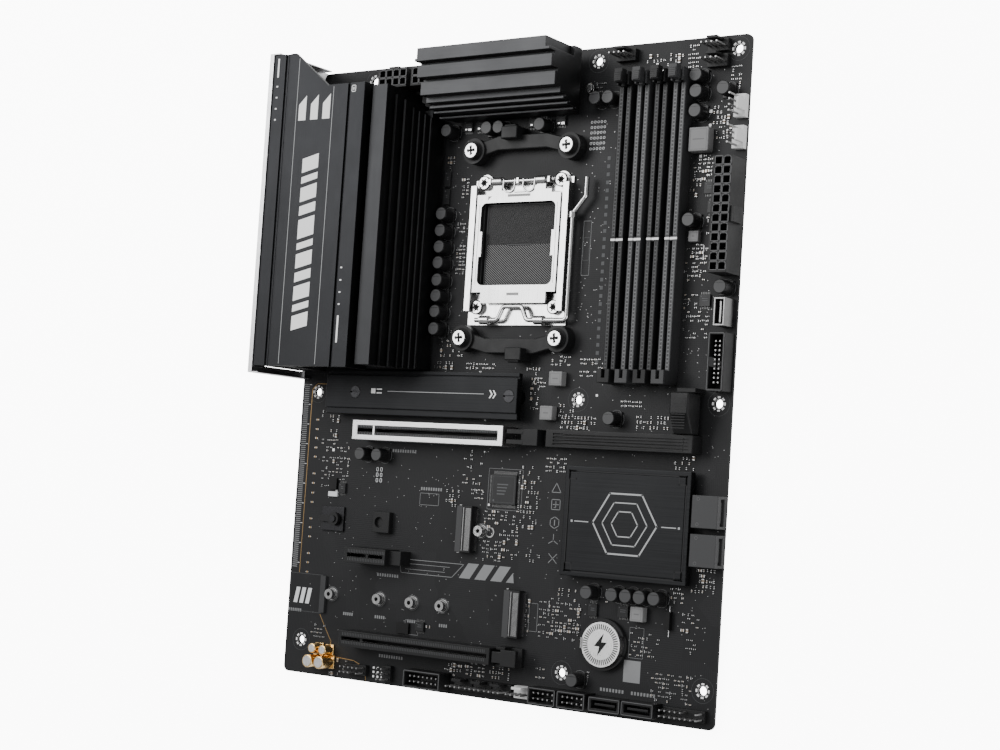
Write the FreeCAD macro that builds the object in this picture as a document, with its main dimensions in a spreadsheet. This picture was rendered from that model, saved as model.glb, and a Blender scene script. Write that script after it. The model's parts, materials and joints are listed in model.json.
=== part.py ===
"""ATX motherboard with a rear I/O block, power-stage heatsinks, processor socket,
memory, expansion and M.2 slots, and the headers along its edges.

The model is drawn in board coordinates: x from the rear edge to the front edge, y from
the slot-side edge towards the top edge, z from the underside of the circuit board. Every
finished node is then placed so that the frame's origin is the centre of the four corner
stand-off holes of the lower board, on the underside.
"""

import FreeCAD, Part
import math
import os

import Sketcher

V = FreeCAD.Vector
doc = FreeCAD.newDocument("Motherboard")

SIZES = {
    # circuit board and its stand-off holes
    "board_w": 243.84, "board_h": 304.8, "board_t": 1.6, "board_corner_r": 3.0,
    "hole_r": 1.98, "hole_rear_x": 10.16, "hole_mid_x": 165.1, "hole_front_inset": 6.35,
    "hole_low_y": 16.51, "hole_mid_y": 140.97, "hole_top_inset": 6.35, "hole_top_rear_x": 33.02,
    "tail_len": 2.3, "tail_r": 0.45, "gap": 0.3,
    # processor socket; its outline follows the package, so most sizes are margins round it
    "socket_x": 128.4, "socket_above": 15.2, "package": 40.2, "housing_wall": 2.9,
    "housing_h": 3.2, "housing_floor": 1.2, "tab_w": 9.0, "tab_d": 4.0, "contact_t": 0.5,
    "contact_margin": 1.35, "slit_w": 13.5, "slit_d": 1.1, "frame_side": 4.8, "frame_up": 11.5,
    "frame_down": 18.3, "frame_t": 1.0, "rail_h": 5.2, "rail_lip": 3.4, "rail_t": 1.0,
    "rail_start": 6.4, "rail_short": 9.6, "plate_side": 3.5, "plate_t": 1.2, "plate_z": 4.0,
    "plate_up": 5.3, "plate_down": 8.1, "plate_corner": 1.9, "window_lip": 0.4, "window_r": 3.0,
    "notch_w": 1.4, "notch_h": 12.0, "hinge_off": 9.7, "hinge_z": 4.6, "hinge_r": 1.0,
    "ear_w": 1.4, "loop_r": 2.1, "loop_w": 5.0, "loop_x": 12.4, "bore_gap": 0.08,
    "screw_off_x": 1.7, "screw_off_y": 9.8, "screw_r": 1.4, "screw_head_r": 3.3,
    "screw_head_h": 2.2, "screw_drive_r": 1.5, "screw_bite": 0.2, "drive_floor": 1.0,
    "wire_r": 1.1, "lever_off": 16.1, "lever_z": 4.4, "shell_wall": 1.0, "shell_w": 5.0,
    "shell_left": 18.0, "shell_right": 13.0, "wire_end": 21.0, "crank_reach": 6.4,
    "crank_w": 10.5, "crank_slope": 3.0, "wire_bend": 2.2, "lever_arm_off": 2.6,
    "lever_arm_y": 13.4, "lever_tip_dx": 6.6, "lever_tip_y": 30.0, "bead_t": 0.9, "bead_len": 2.6,
    # cooler brackets and backplate
    "cooler_off_x": 6.9, "cooler_off_y": 24.9, "boss_r": 6.2, "bracket_h": 6.3,
    "bracket_bar": 7.0, "bracket_step": 1.2, "bracket_bow": 3.5, "lug_w": 9.0, "lug_d": 6.0,
    "lug_h": 9.6, "lug_shift": 5.0, "lug_sink": 2.5, "hook_t": 1.4, "hook_h": 2.2,
    "hook_drop": 3.0, "post_r": 2.4, "cooler_screw_r": 1.9, "cooler_head_r": 4.0,
    "cooler_head_h": 2.4, "cross_w": 4.4, "cross_t": 0.9, "cross_d": 1.2, "backplate_rim": 6.0,
    "backplate_t": 2.3,
    # rear I/O
    "io_from_top": 157.5, "io_len": 158.75, "io_h": 44.45, "io_drop": 2.3, "shield_x": -2.0,
    "shield_t": 0.5, "shield_lip": 2.5, "cover_w": 60.4, "cover_t": 2.0,
    "cover_inset": 3.5, "cover_short": 18.0, "cover_band": 10.6, "cover_v_x": 14.2,
    "cover_v_end_x": 36.0, "cover_groove": 1.6, "cover_groove_d": 1.0, "cover_band_w": 8.6,
    "cover_skirt": 16.0, "port_depth": 17.0, "usb_w": 14.6, "usb_h": 30.4, "usb_mouth_w": 12.4,
    "usb_mouth_h": 5.2, "usb_pitch": 7.2, "usb_depth": 11.0,
    "audio_w": 26.0, "audio_h": 33.6, "jack_r": 1.85, "jack_ring_r": 4.2, "antenna_r": 3.15,
    "antenna_len": 9.0, "button_r": 2.6, "audio_at": 17.2, "antenna_at": 37.6,
    "lan_at": 54.0, "lan_w": 17.0, "usb_at": 72.0, "usb_step": 17.0, "usb_c_at": 106.0,
    "video_at": 125.0, "button_at": 144.0, "video_w": 19.0, "video_h": 22.0, "button_z": 12.0,
    "button_case": 9.0, "button_case_h": 17.0, "antenna_low": 9.0, "antenna_high": 23.0,
    # power-stage heatsinks and what lies under them
    "sink_x": 42.0, "sink_w": 38.6, "sink_inset": 5.3, "sink_from_top": 19.0, "sink_foot": 2.6,
    "sink_base_h": 10.4, "fin_t": 0.9, "fin_pitch": 1.55, "stage_h": 1.0, "choke_h": 7.0,
    "fin_start": 33.0, "fin_top": 23.5, "fin_drop": 2.7, "fin_trim": 1.2, "stage_pitch": 11.2,
    "choke": 10.0, "pad_t": 1.0, "pad_strip": 110.0, "top_pad_strip": 62.0, "top_stage_pitch": 12.6,
    "top_sink_x": 84.6, "top_sink_w": 76.0, "top_sink_d": 29.4, "top_sink_inset": 1.8,
    # memory slots
    "dimm_x": 58.6, "dimm_pitch": 9.3, "dimm_w": 6.4, "dimm_from_top": 156.6, "dimm_len": 141.6,
    "dimm_h": 8.0, "dimm_end": 6.2, "dimm_end_h": 13.0, "dimm_groove": 1.7, "dimm_groove_d": 5.0,
    "dimm_key_y": 65.1, "dimm_key": 2.2, "latch_w": 3.8, "latch_h": 17.5, "latch_d": 5.6,
    "latch_pivot_r": 1.0, "latch_pivot_z": 4.8, "cheek_t": 1.0,
    # expansion slots
    "pcie_x": 43.2, "pcie_y": 122.4, "pcie_pitch": 20.32, "pcie_len": 89.2, "pcie_w": 7.6,
    "pcie_h": 11.25, "pcie_groove": 1.8, "pcie_groove_d": 8.0, "pcie_key_x": 13.2,
    "pcie_key": 1.6, "pcie_x1_len": 25.0, "shield_wall": 0.9, "latch_travel": 2.5,
    "bar_x": 154.4, "bar_len": 76.0, "bar_w": 8.0, "bar_h": 9.0, "release_w": 9.2,
    "release_d": 18.0, "release_h": 15.0, "release_travel": 3.0, "pull_rod_w": 2.8,
    "pull_rod_h": 2.2, "pull_rod_z": 2.0, "card_pivot_x": 3.5, "card_pivot_z": 5.6,
    "card_pivot_r": 0.9,
    # M.2 sites
    "m2_card_w": 22.0, "m2_body_len": 8.8, "m2_body_h": 4.2, "m2_low_x": 138.2, "m2_low_y": 40.7,
    "m2_mid_x": 108.4, "m2_mid_y": 78.0, "m2_sink_x": 22.6, "m2_sink_y": 130.2,
    "m2_sink_len": 114.6, "m2_sink_w": 21.8, "m2_sink_z": 5.0, "m2_sink_t": 4.0,
    "m2_sink_step": 3.0, "m2_screw_inset": 4.6, "standoff_r": 2.5, "standoff_h": 3.1,
    "standoff_bore_r": 1.0, "m2_pivot_r": 1.7, "m2_plate_t": 1.2, "m2_wing_t": 2.0,
    "m2_screw_r": 1.3, "m2_head_r": 2.9, "m2_recess": 1.6,
    # chipset
    "chipset_w": 64.6, "chipset_d": 49.6, "chipset_x": 164.9, "chipset_y": 60.9,
    "chipset_h": 6.4, "chipset_z": 2.4, "chip_w": 23.0, "lid_rim": 2.0, "lid_groove": 1.1,
    "lid_groove_d": 0.5, "lid_leg_r": 2.2, "lid_leg_inset": 6.0,
    # connectors
    "cell_pitch": 4.2, "cell": 3.4, "plug_wall": 0.8, "plug_h": 12.8, "plug_depth": 10.0,
    "atx_inset": 9.2, "atx_from_top": 55.8, "eps_x": 45.0, "eps_from_top": 13.4,
    "pin": 0.64, "pin_pitch": 2.54, "pin_h": 8.4, "pin_base_h": 2.5, "box_h": 9.0, "box_wall": 1.0,
    "edge_row_y": 5.6, "sata_len": 14.2, "sata_d": 12.6, "sata_h": 8.6, "atx_len": 51.8,
    "eps_step": 20.4, "fan_len": 10.2, "fan_w": 5.6, "fan_wall": 5.2, "fan_wall_t": 1.2,
    # small parts
    "cap_r": 3.15, "cap_h": 7.6, "cap_base_h": 1.1, "battery_r": 10.0,
    "battery_t": 3.2, "battery_x": 187.4, "battery_y": 31.6, "battery_z": 1.2, "holder_r": 11.6,
}

sheet = doc.addObject("Spreadsheet::Sheet", "Sizes")
for row, (alias, value) in enumerate(SIZES.items(), 1):
    sheet.set(f"A{row}", alias)
    sheet.set(f"B{row}", str(value))
    sheet.setAlias(f"B{row}", alias)
doc.recompute()


class Dim:
    """A length that carries both its value and the sheet expression that gives it."""

    def __init__(self, value, text=None):
        self.value = float(value)
        self.text = text or f"({self.value:.6g})"

    def __float__(self):
        return self.value

    def __neg__(self):
        return Dim(-self.value, f"(-{self.text})")

    def __add__(self, other):
        other = dim(other)
        return Dim(self.value + other.value, f"({self.text} + {other.text})")

    def __sub__(self, other):
        other = dim(other)
        return Dim(self.value - other.value, f"({self.text} - {other.text})")

    def __mul__(self, other):
        other = dim(other)
        return Dim(self.value * other.value, f"({self.text} * {other.text})")

    def __truediv__(self, other):
        other = dim(other)
        return Dim(self.value / other.value, f"({self.text} / {other.text})")

    def __radd__(self, other):
        return dim(other) + self

    def __rsub__(self, other):
        return dim(other) - self

    __rmul__ = __mul__


def dim(value):
    """Return value as a Dim."""
    return value if isinstance(value, Dim) else Dim(value)


class Sizes:
    """The sheet's cells as attributes, each a Dim."""

    def __getattr__(self, alias):
        return Dim(sheet.get(alias), f"Sizes.{alias}")


S = Sizes()
NODES = []


def bind(obj, prop, value):
    """Drive one property of an object from the sheet."""
    obj.setExpression(prop, dim(value).text)


def move_to(obj, at):
    """Bind an object's position, in board coordinates."""
    for axis, value in zip("xyz", at):
        bind(obj, f"Placement.Base.{axis}", value)


def box(at, size):
    """A block with one corner at `at`."""
    obj = doc.addObject("Part::Box", "Block")
    for prop, value in zip(("Length", "Width", "Height"), size):
        bind(obj, prop, value)
    move_to(obj, at)
    return obj


def centred(x, y, z, size):
    """A block centred on x and y that stands on z."""
    dx, dy, dz = (dim(value) for value in size)
    return box((x - dx / 2, y - dy / 2, z), (dx, dy, dz))


TURN = {"z": FreeCAD.Rotation(), "x": FreeCAD.Rotation(V(0, 1, 0), 90),
        "y": FreeCAD.Rotation(V(1, 0, 0), -90)}


def rod(at, radius, length, axis="z"):
    """A cylinder that starts at `at` and runs along the named axis."""
    obj = doc.addObject("Part::Cylinder", "Round")
    bind(obj, "Radius", radius)
    bind(obj, "Height", length)
    obj.Placement = FreeCAD.Placement(V(), TURN[axis])
    move_to(obj, at)
    return obj


def fuse(*parts):
    """Join pieces into one solid."""
    obj = doc.addObject("Part::MultiFuse", "Joined")
    obj.Shapes = list(parts)
    obj.Refine = True
    return obj


def cut(base, *tools):
    """Take the tools' volume out of the base."""
    tool = tools[0]
    if len(tools) > 1:
        tool = doc.addObject("Part::Compound", "Tools")
        tool.Links = list(tools)
    obj = doc.addObject("Part::Cut", "Hollowed")
    obj.Base = base
    obj.Tool = tool
    obj.Refine = True
    return obj


def group(*parts):
    """Separate solids that share one node."""
    obj = doc.addObject("Part::Compound", "Group")
    obj.Links = list(parts)
    return obj


ORIGIN_X = (S.hole_rear_x + S.board_w - S.hole_front_inset) / 2
ORIGIN_Y = (S.hole_low_y + S.hole_mid_y) / 2


def node(label, obj):
    """Name a finished piece and place it in the shared frame."""
    obj.Label = label
    bind(obj, "Placement.Base.x", -ORIGIN_X)
    bind(obj, "Placement.Base.y", -ORIGIN_Y)
    NODES.append(obj)
    return obj


def feature(label, shapes):
    """A node of many small separate solids, or of a swept one, sized from the sheet."""
    obj = doc.addObject("Part::Feature", label)
    obj.Shape = Part.makeCompound(shapes) if len(shapes) > 1 else shapes[0]
    return node(label, obj)


def block(x, y, z, dx, dy, dz):
    """A loose block for a feature, centred on x and y."""
    x, y, z, dx, dy, dz = (float(value) for value in (x, y, z, dx, dy, dz))
    return Part.makeBox(dx, dy, dz, V(x - dx / 2, y - dy / 2, z))


def post(x, y, z, radius, height, axis=V(0, 0, 1)):
    """A loose cylinder for a feature."""
    return Part.makeCylinder(float(radius), float(height), V(float(x), float(y), float(z)), axis)


def plane_of(body, role):
    """One of a body's own origin planes."""
    for feature_ in body.Origin.OriginFeatures:
        if feature_.Role == role:
            return feature_
    raise ValueError(role)


def sketch_on(body, role, offset):
    """A sketch on a body's own plane, moved along the plane's normal."""
    sketch = body.newObject("Sketcher::SketchObject", "Profile")
    sketch.AttachmentSupport = [(plane_of(body, role), "")]
    sketch.MapMode = "FlatFace"
    bind(sketch, "AttachmentOffset.Base.z", offset)
    return sketch


def pin_point(sketch, geometry, end, x, y):
    """Tie one end of a curve to sheet-driven coordinates."""
    for kind, value in (("DistanceX", x), ("DistanceY", y)):
        value = dim(value)
        number = sketch.addConstraint(Sketcher.Constraint(kind, -1, 1, geometry, end, value.value))
        sketch.setExpression(f"Constraints[{number}]", value.text)


def outline(sketch, points):
    """A closed outline of straight lines through sheet-driven points."""
    first = sketch.GeometryCount
    count = len(points)
    values = [V(float(x), float(y), 0) for x, y in points]
    for index in range(count):
        sketch.addGeometry(Part.LineSegment(values[index], values[(index + 1) % count]))
    for index in range(count):
        following = first + (index + 1) % count
        sketch.addConstraint(Sketcher.Constraint("Coincident", first + index, 2, following, 1))
    for index, (x, y) in enumerate(points):
        pin_point(sketch, first + index, 1, x, y)


def circle(sketch, x, y, radius):
    """A sheet-driven circle in a sketch."""
    radius = dim(radius)
    centre = V(float(x), float(y), 0)
    index = sketch.addGeometry(Part.Circle(centre, V(0, 0, 1), radius.value))
    pin_point(sketch, index, 3, x, y)
    number = sketch.addConstraint(Sketcher.Constraint("Radius", index, radius.value))
    sketch.setExpression(f"Constraints[{number}]", radius.text)


def pad(body, sketch, length):
    """Raise a sketch along its normal."""
    obj = body.newObject("PartDesign::Pad", "Raised")
    obj.Profile = sketch
    bind(obj, "Length", length)
    doc.recompute()
    return obj


def pocket(body, sketch, length):
    """Sink a sketch into the body along its normal, and make sure that it removes material."""
    before = body.Shape.Volume
    obj = body.newObject("PartDesign::Pocket", "Sunk")
    obj.Profile = sketch
    obj.Reversed = True
    bind(obj, "Length", length)
    doc.recompute()
    if body.Shape.Volume > before - 1e-3:
        raise RuntimeError(f"{obj.Label} in {body.Label} cuts nothing")
    return obj


def fillet(body, base, edges, radius):
    """Round the named edges of a feature."""
    obj = body.newObject("PartDesign::Fillet", "Rounded")
    obj.Base = (base, edges)
    bind(obj, "Radius", radius)
    doc.recompute()
    return obj


def upright_edges(shape):
    """Names of a shape's edges that run along z."""
    names = []
    for index, edge in enumerate(shape.Edges, 1):
        points = [vertex.Point for vertex in edge.Vertexes]
        if len(points) == 2 and (points[0] - points[1]).cross(V(0, 0, 1)).Length < 1e-6:
            names.append(f"Edge{index}")
    return names


def new_body(label):
    """An empty body for one piece."""
    return doc.addObject("PartDesign::Body", label)


TOP = S.board_t
HALF_PACKAGE = S.package / 2
HOUSING_W = S.package + 2 * S.housing_wall
FRAME_W = HOUSING_W + 2 * S.frame_side
COOLER_DX = HALF_PACKAGE + S.cooler_off_x
COOLER_DY = HALF_PACKAGE + S.cooler_off_y
TOP_SINK_Y = S.board_h - S.top_sink_inset - S.top_sink_d
SOCKET_Y = TOP_SINK_Y - S.socket_above - COOLER_DY
HINGE_Y = SOCKET_Y + HALF_PACKAGE + S.hinge_off
LEVER_Y = SOCKET_Y - HALF_PACKAGE - S.lever_off


# ---------------------------------------------------------------- circuit board

def stand_off_holes():
    """Centres of the nine stand-off holes."""
    front = S.board_w - S.hole_front_inset
    top = S.board_h - S.hole_top_inset
    lower = [(x, y) for x in (S.hole_rear_x, S.hole_mid_x, front) for y in (S.hole_low_y, S.hole_mid_y)]
    return lower + [(x, top) for x in (S.hole_top_rear_x, S.hole_mid_x, front)]


def cooler_posts():
    """Centres of the four cooler bracket screws."""
    return [(S.socket_x + sx * COOLER_DX, SOCKET_Y + sy * COOLER_DY)
            for sx in (-1, 1) for sy in (-1, 1)]


def make_pcb():
    """The circuit board with rounded corners, stand-off holes and holes for the backplate posts."""
    body = new_body("pcb")
    plan = sketch_on(body, "XY_Plane", 0)
    outline(plan, [(0, 0), (S.board_w, 0), (S.board_w, S.board_h), (0, S.board_h)])
    slab = pad(body, plan, S.board_t)
    fillet(body, slab, upright_edges(slab.Shape), S.board_corner_r)
    holes = sketch_on(body, "XY_Plane", 0)
    for x, y in stand_off_holes():
        circle(holes, x, y, S.hole_r)
    for x, y in cooler_posts():
        circle(holes, x, y, S.post_r + S.bore_gap)
    pocket(body, holes, S.board_t)
    node("pcb", body)


# ---------------------------------------------------------------- processor socket

def make_backplate():
    """The steel backplate under the socket with its four threaded posts."""
    width = 2 * (COOLER_DX + S.backplate_rim)
    height = 2 * (COOLER_DY + S.backplate_rim)
    plate = centred(S.socket_x, SOCKET_Y, -S.backplate_t, (width, height, S.backplate_t))
    posts = [rod((x, y, -S.backplate_t), S.post_r, S.backplate_t + TOP) for x, y in cooler_posts()]
    bores = [rod((x, y, -S.backplate_t / 2), S.cooler_screw_r + S.bore_gap / 2,
                 S.backplate_t + TOP) for x, y in cooler_posts()]
    node("socket_backplate", cut(fuse(plate, *posts), *bores))


def make_housing():
    """The plastic socket housing with its recess, and the contact field on the recess floor."""
    outer = centred(S.socket_x, SOCKET_Y, TOP, (HOUSING_W, HOUSING_W, S.housing_h))
    recess = centred(S.socket_x, SOCKET_Y, TOP + S.housing_floor, (S.package, S.package, S.housing_h))
    tabs = [centred(S.socket_x, SOCKET_Y + side * HALF_PACKAGE, TOP + S.housing_floor,
                    (S.tab_w, S.tab_d, S.housing_h)) for side in (-1, 1)]
    node("cpu_socket_housing", cut(outer, recess, *tabs))
    field_w = S.package - 2 * S.contact_margin
    field = centred(S.socket_x, SOCKET_Y, TOP + S.housing_floor, (field_w, field_w, S.contact_t))
    slit = centred(S.socket_x, SOCKET_Y, TOP + S.housing_floor, (S.slit_w, S.slit_d, S.contact_t))
    node("cpu_socket_contacts", cut(field, slit))


def frame_screws():
    """Centres of the four screws through the socket frame."""
    return [(S.socket_x + sx * (HALF_PACKAGE + S.screw_off_x), SOCKET_Y + sy * (HALF_PACKAGE + S.screw_off_y))
            for sx in (-1, 1) for sy in (-1, 1)]


def lever_shells():
    """Left ends of the two shells that hold the lever's foot."""
    return (S.socket_x - S.shell_left, S.socket_x + S.shell_right)


def make_socket_frame():
    """The sheet-steel socket frame: a flat ring, two side rails and the hinge pin's ears."""
    left = S.socket_x - FRAME_W / 2
    low = SOCKET_Y - HALF_PACKAGE - S.frame_down
    length = S.package + S.frame_up + S.frame_down
    inner = HOUSING_W + 2 * S.gap
    ring = cut(box((left, low, TOP), (FRAME_W, length, S.frame_t)),
               centred(S.socket_x, SOCKET_Y, TOP, (inner, inner, S.frame_t)))
    pieces = [ring]
    rail_y = low + S.rail_start
    rail_len = length - S.rail_short
    for side in (-1, 1):
        wall_x = S.socket_x + side * (FRAME_W - S.rail_t) / 2 - S.rail_t / 2
        lip_x = S.socket_x + side * (FRAME_W - S.rail_lip) / 2 - S.rail_lip / 2
        pieces.append(box((wall_x, rail_y, TOP), (S.rail_t, rail_len, S.rail_h)))
        pieces.append(box((lip_x, rail_y, TOP + S.rail_h - S.rail_t), (S.rail_lip, rail_len, S.rail_t)))
    reach = S.loop_x + S.loop_w
    pieces.append(rod((S.socket_x - reach, HINGE_Y, TOP + S.hinge_z), S.hinge_r, reach * 2, "x"))
    ear = (S.ear_w, 2 * S.ear_w, S.hinge_z + S.ear_w)
    for offset in (-reach, dim(-1.5), reach - S.ear_w):
        pieces.append(box((S.socket_x + offset, HINGE_Y - S.ear_w, TOP), ear))
    lever_z = TOP + S.lever_z
    for x in lever_shells():
        foot = box((x, LEVER_Y - S.shell_wall, TOP), (S.shell_w, 2 * S.shell_wall, S.lever_z))
        shell = rod((x, LEVER_Y, lever_z), S.wire_r + S.shell_wall, S.shell_w, "x")
        bore = rod((x - 1, LEVER_Y, lever_z), S.wire_r + S.bore_gap, S.shell_w + 2, "x")
        pieces.append(cut(fuse(foot, shell), bore))
    holes = [rod((x, y, TOP), S.screw_r + S.bore_gap, S.frame_t) for x, y in frame_screws()]
    node("socket_frame", cut(fuse(*pieces), *holes))


def make_socket_screws():
    """Four round-headed screws that hold the socket frame."""
    screws = []
    for x, y in frame_screws():
        shank = rod((x, y, TOP), S.screw_r, S.frame_t + S.screw_bite)
        head = rod((x, y, TOP + S.frame_t), S.screw_head_r, S.screw_head_h)
        drive = rod((x, y, TOP + S.frame_t + S.drive_floor), S.screw_drive_r, S.screw_head_h)
        screws.append(cut(fuse(shank, head), drive))
    node("socket_screws", group(*screws))


def make_load_plate():
    """The hinged load plate: a window with side notches, cut corners and two hinge loops."""
    body = new_body("load_plate_sheet")
    half = HALF_PACKAGE + S.plate_side
    high = SOCKET_Y + HALF_PACKAGE + S.plate_up
    low = SOCKET_Y - HALF_PACKAGE - S.plate_down
    corner = S.screw_head_r + S.plate_corner
    left = S.socket_x - half
    right = S.socket_x + half
    plan = sketch_on(body, "XY_Plane", TOP + S.plate_z)
    outline(plan, [(left, low + corner), (left + corner, low + corner), (left + corner, low),
                   (right - corner, low), (right - corner, low + corner), (right, low + corner),
                   (right, high - corner / 3), (right - corner, high - corner / 3), (right - corner, high),
                   (left + corner, high), (left + corner, high - corner / 3), (left, high - corner / 3)])
    pad(body, plan, S.plate_t)
    window = HALF_PACKAGE - S.window_lip
    inset = S.notch_w
    tall = S.notch_h / 2
    x0 = S.socket_x - window
    x1 = S.socket_x + window
    y0 = SOCKET_Y - window
    y1 = SOCKET_Y + window
    hole = sketch_on(body, "XY_Plane", TOP + S.plate_z)
    outline(hole, [(x0 - inset, y0), (x1 + inset, y0), (x1 + inset, SOCKET_Y - tall),
                   (x1, SOCKET_Y - tall), (x1, SOCKET_Y + tall), (x1 + inset, SOCKET_Y + tall),
                   (x1 + inset, y1), (x0 - inset, y1), (x0 - inset, SOCKET_Y + tall),
                   (x0, SOCKET_Y + tall), (x0, SOCKET_Y - tall), (x0 - inset, SOCKET_Y - tall)])
    opening = pocket(body, hole, S.plate_t)
    corners = []
    for index, edge in enumerate(opening.Shape.Edges, 1):
        centre = edge.CenterOfMass
        upright = abs(edge.BoundBox.ZLength - float(S.plate_t)) < 1e-6
        wide = abs(abs(centre.x - float(S.socket_x)) - float(window + inset)) < 1e-6
        tall_corner = abs(abs(centre.y - float(SOCKET_Y)) - float(window)) < 1e-6
        if upright and wide and tall_corner:
            corners.append(f"Edge{index}")
    fillet(body, opening, corners, S.window_r)
    axis_z = TOP + S.hinge_z
    loops = []
    for side in (-1, 1):
        x = S.socket_x + side * S.loop_x - S.loop_w / 2
        bar = box((x, high - 1, TOP + S.plate_z), (S.loop_w, HINGE_Y - high + 1, S.plate_t))
        ring = rod((x, HINGE_Y, axis_z), S.loop_r, S.loop_w, "x")
        bore = rod((x - 1, HINGE_Y, axis_z), S.hinge_r + S.bore_gap, S.loop_w + 2, "x")
        loops.append(cut(fuse(bar, ring), bore))
    node("socket_load_plate", fuse(body, *loops))


def swept_wire(points, radius, bend):
    """A round wire along straight runs joined by tangent arcs."""
    edges = []
    start = points[0]
    for before, corner, after in zip(points, points[1:], points[2:]):
        inward = (before - corner).normalize()
        outward = (after - corner).normalize()
        half_turn = (math.pi - inward.getAngle(outward)) / 2
        reach = min(bend * math.tan(half_turn), 0.45 * (before - corner).Length,
                    0.45 * (after - corner).Length)
        arc_r = reach / math.tan(half_turn)
        first = corner + inward * reach
        last = corner + outward * reach
        bisector = (inward + outward).normalize()
        middle = corner + bisector * (arc_r / math.cos(half_turn) - arc_r)
        edges.append(Part.LineSegment(start, first).toShape())
        edges.append(Part.Arc(first, middle, last).toShape())
        start = last
    edges.append(Part.LineSegment(start, points[-1]).toShape())
    direction = (points[1] - points[0]).normalize()
    profile = Part.Wire(Part.Circle(points[0], direction, radius).toShape())
    return Part.Wire(edges).makePipeShell([profile], True, False)


def make_lever():
    """The locking lever: a cranked wire across the foot of the socket and an arm beside it."""
    x = float(S.socket_x)
    foot = float(LEVER_Y)
    z = float(TOP + S.lever_z)
    half = float(S.crank_w) / 2
    root = half + float(S.crank_slope)
    arm = x + float(FRAME_W / 2 + S.lever_arm_off)
    reach = foot + float(S.crank_reach)
    bead_y = float(SOCKET_Y + S.lever_arm_y)
    shift = float(S.lever_tip_dx)
    route = [V(x - float(S.wire_end), foot, z), V(x - root, foot, z), V(x - half, reach, z),
             V(x + half, reach, z), V(x + root, foot, z), V(arm, foot, z), V(arm, bead_y, z),
             V(arm + shift, bead_y + 1.2 * shift, z), V(arm + shift, float(SOCKET_Y + S.lever_tip_y), z)]
    wire = swept_wire(route, float(S.wire_r), float(S.wire_bend))
    bead_start = bead_y - float(S.bead_len) + 0.6
    bead = post(arm, bead_start, z, S.wire_r + S.bead_t, S.bead_len, V(0, 1, 0))
    feature("socket_lever", [wire.fuse(bead).removeSplitter()])


def bracket(side):
    """A cooler bracket: two screw bosses, a bowed bar between them and a clip lug."""
    y = SOCKET_Y + side * COOLER_DY
    half = S.bracket_bar / 2
    bow = y + side * S.bracket_bow
    left = S.socket_x - COOLER_DX
    right = S.socket_x + COOLER_DX
    body = new_body("cooler_bracket_bar")
    plan = sketch_on(body, "XY_Plane", TOP)
    shoulder = COOLER_DX / 2
    edge = [(left, y - side * half), (S.socket_x - shoulder, bow - side * half),
            (S.socket_x + shoulder, bow - side * half), (right, y - side * half),
            (right, y + side * half), (S.socket_x + shoulder, bow + side * half),
            (S.socket_x - shoulder, bow + side * half), (left, y + side * half)]
    outline(plan, edge)
    pad(body, plan, S.bracket_h - S.bracket_step)
    bosses = [rod((x, y, TOP), S.boss_r, S.bracket_h) for x in (left, right)]
    lug_y = bow + side * (half + S.lug_d / 2 - S.lug_sink)
    lug_x = S.socket_x - side * S.lug_shift
    lug = centred(lug_x, lug_y, TOP, (S.lug_w, S.lug_d, S.lug_h))
    hook_y = lug_y + side * (S.lug_d + S.hook_t / 2) / 2
    hook = centred(lug_x, hook_y, TOP + S.lug_h - S.hook_drop, (S.lug_w * 2 / 3, S.hook_t, S.hook_h))
    holes = [rod((x, y, TOP), S.cooler_screw_r + S.bore_gap, S.bracket_h) for x in (left, right)]
    return cut(fuse(body, *bosses, lug, hook), *holes)


def make_bracket_screws():
    """Four cross-headed screws through the cooler brackets into the backplate posts."""
    screws = []
    for x, y in cooler_posts():
        seat = TOP + S.bracket_h
        shank = rod((x, y, dim(0.5)), S.cooler_screw_r, seat - 0.5)
        head = rod((x, y, seat), S.cooler_head_r, S.cooler_head_h)
        floor = seat + S.cooler_head_h - S.cross_d
        drive = [centred(x, y, floor, (S.cross_w, S.cross_t, S.cross_d)),
                 centred(x, y, floor, (S.cross_t, S.cross_w, S.cross_d))]
        screws.append(cut(fuse(shank, head), *drive))
    node("cooler_bracket_screws", group(*screws))


# ---------------------------------------------------------------- rear I/O block

IO_Y = S.board_h - S.io_from_top
COVER_TOP = S.io_h - S.io_drop - S.shield_t - S.gap / 2
PORT_X = S.shield_x - S.shield_lip / 2


def port_y(offset):
    """A place along the rear edge, measured from the slot-side end of the shield."""
    return IO_Y + offset


def rear_block(y, z, width, height):
    """A port body that stands on the board and shows through the shield."""
    return box((PORT_X, y - dim(width) / 2, z), (S.port_depth, width, height))


def mouth(y, z, width, height, depth):
    """The hollow of a port, open towards the rear."""
    return box((PORT_X, y - dim(width) / 2, z), (depth, width, height))


def usb_stack(y, levels=4):
    """A tower of flat sockets with a tongue in each."""
    body = rear_block(y, TOP, S.usb_w, S.usb_h)
    holes = []
    tongues = []
    for level in range(levels):
        z = TOP + 1.4 + level * S.usb_pitch
        holes.append(mouth(y, z, S.usb_mouth_w, S.usb_mouth_h, S.usb_depth))
        tongues.append(box((PORT_X + 1.5, y - S.usb_mouth_w / 2 + 1.2, z + S.usb_mouth_h - 2.2),
                           (S.usb_depth, S.usb_mouth_w - 2.4, 1.6)))
    return fuse(cut(body, *holes), *tongues)


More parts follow.
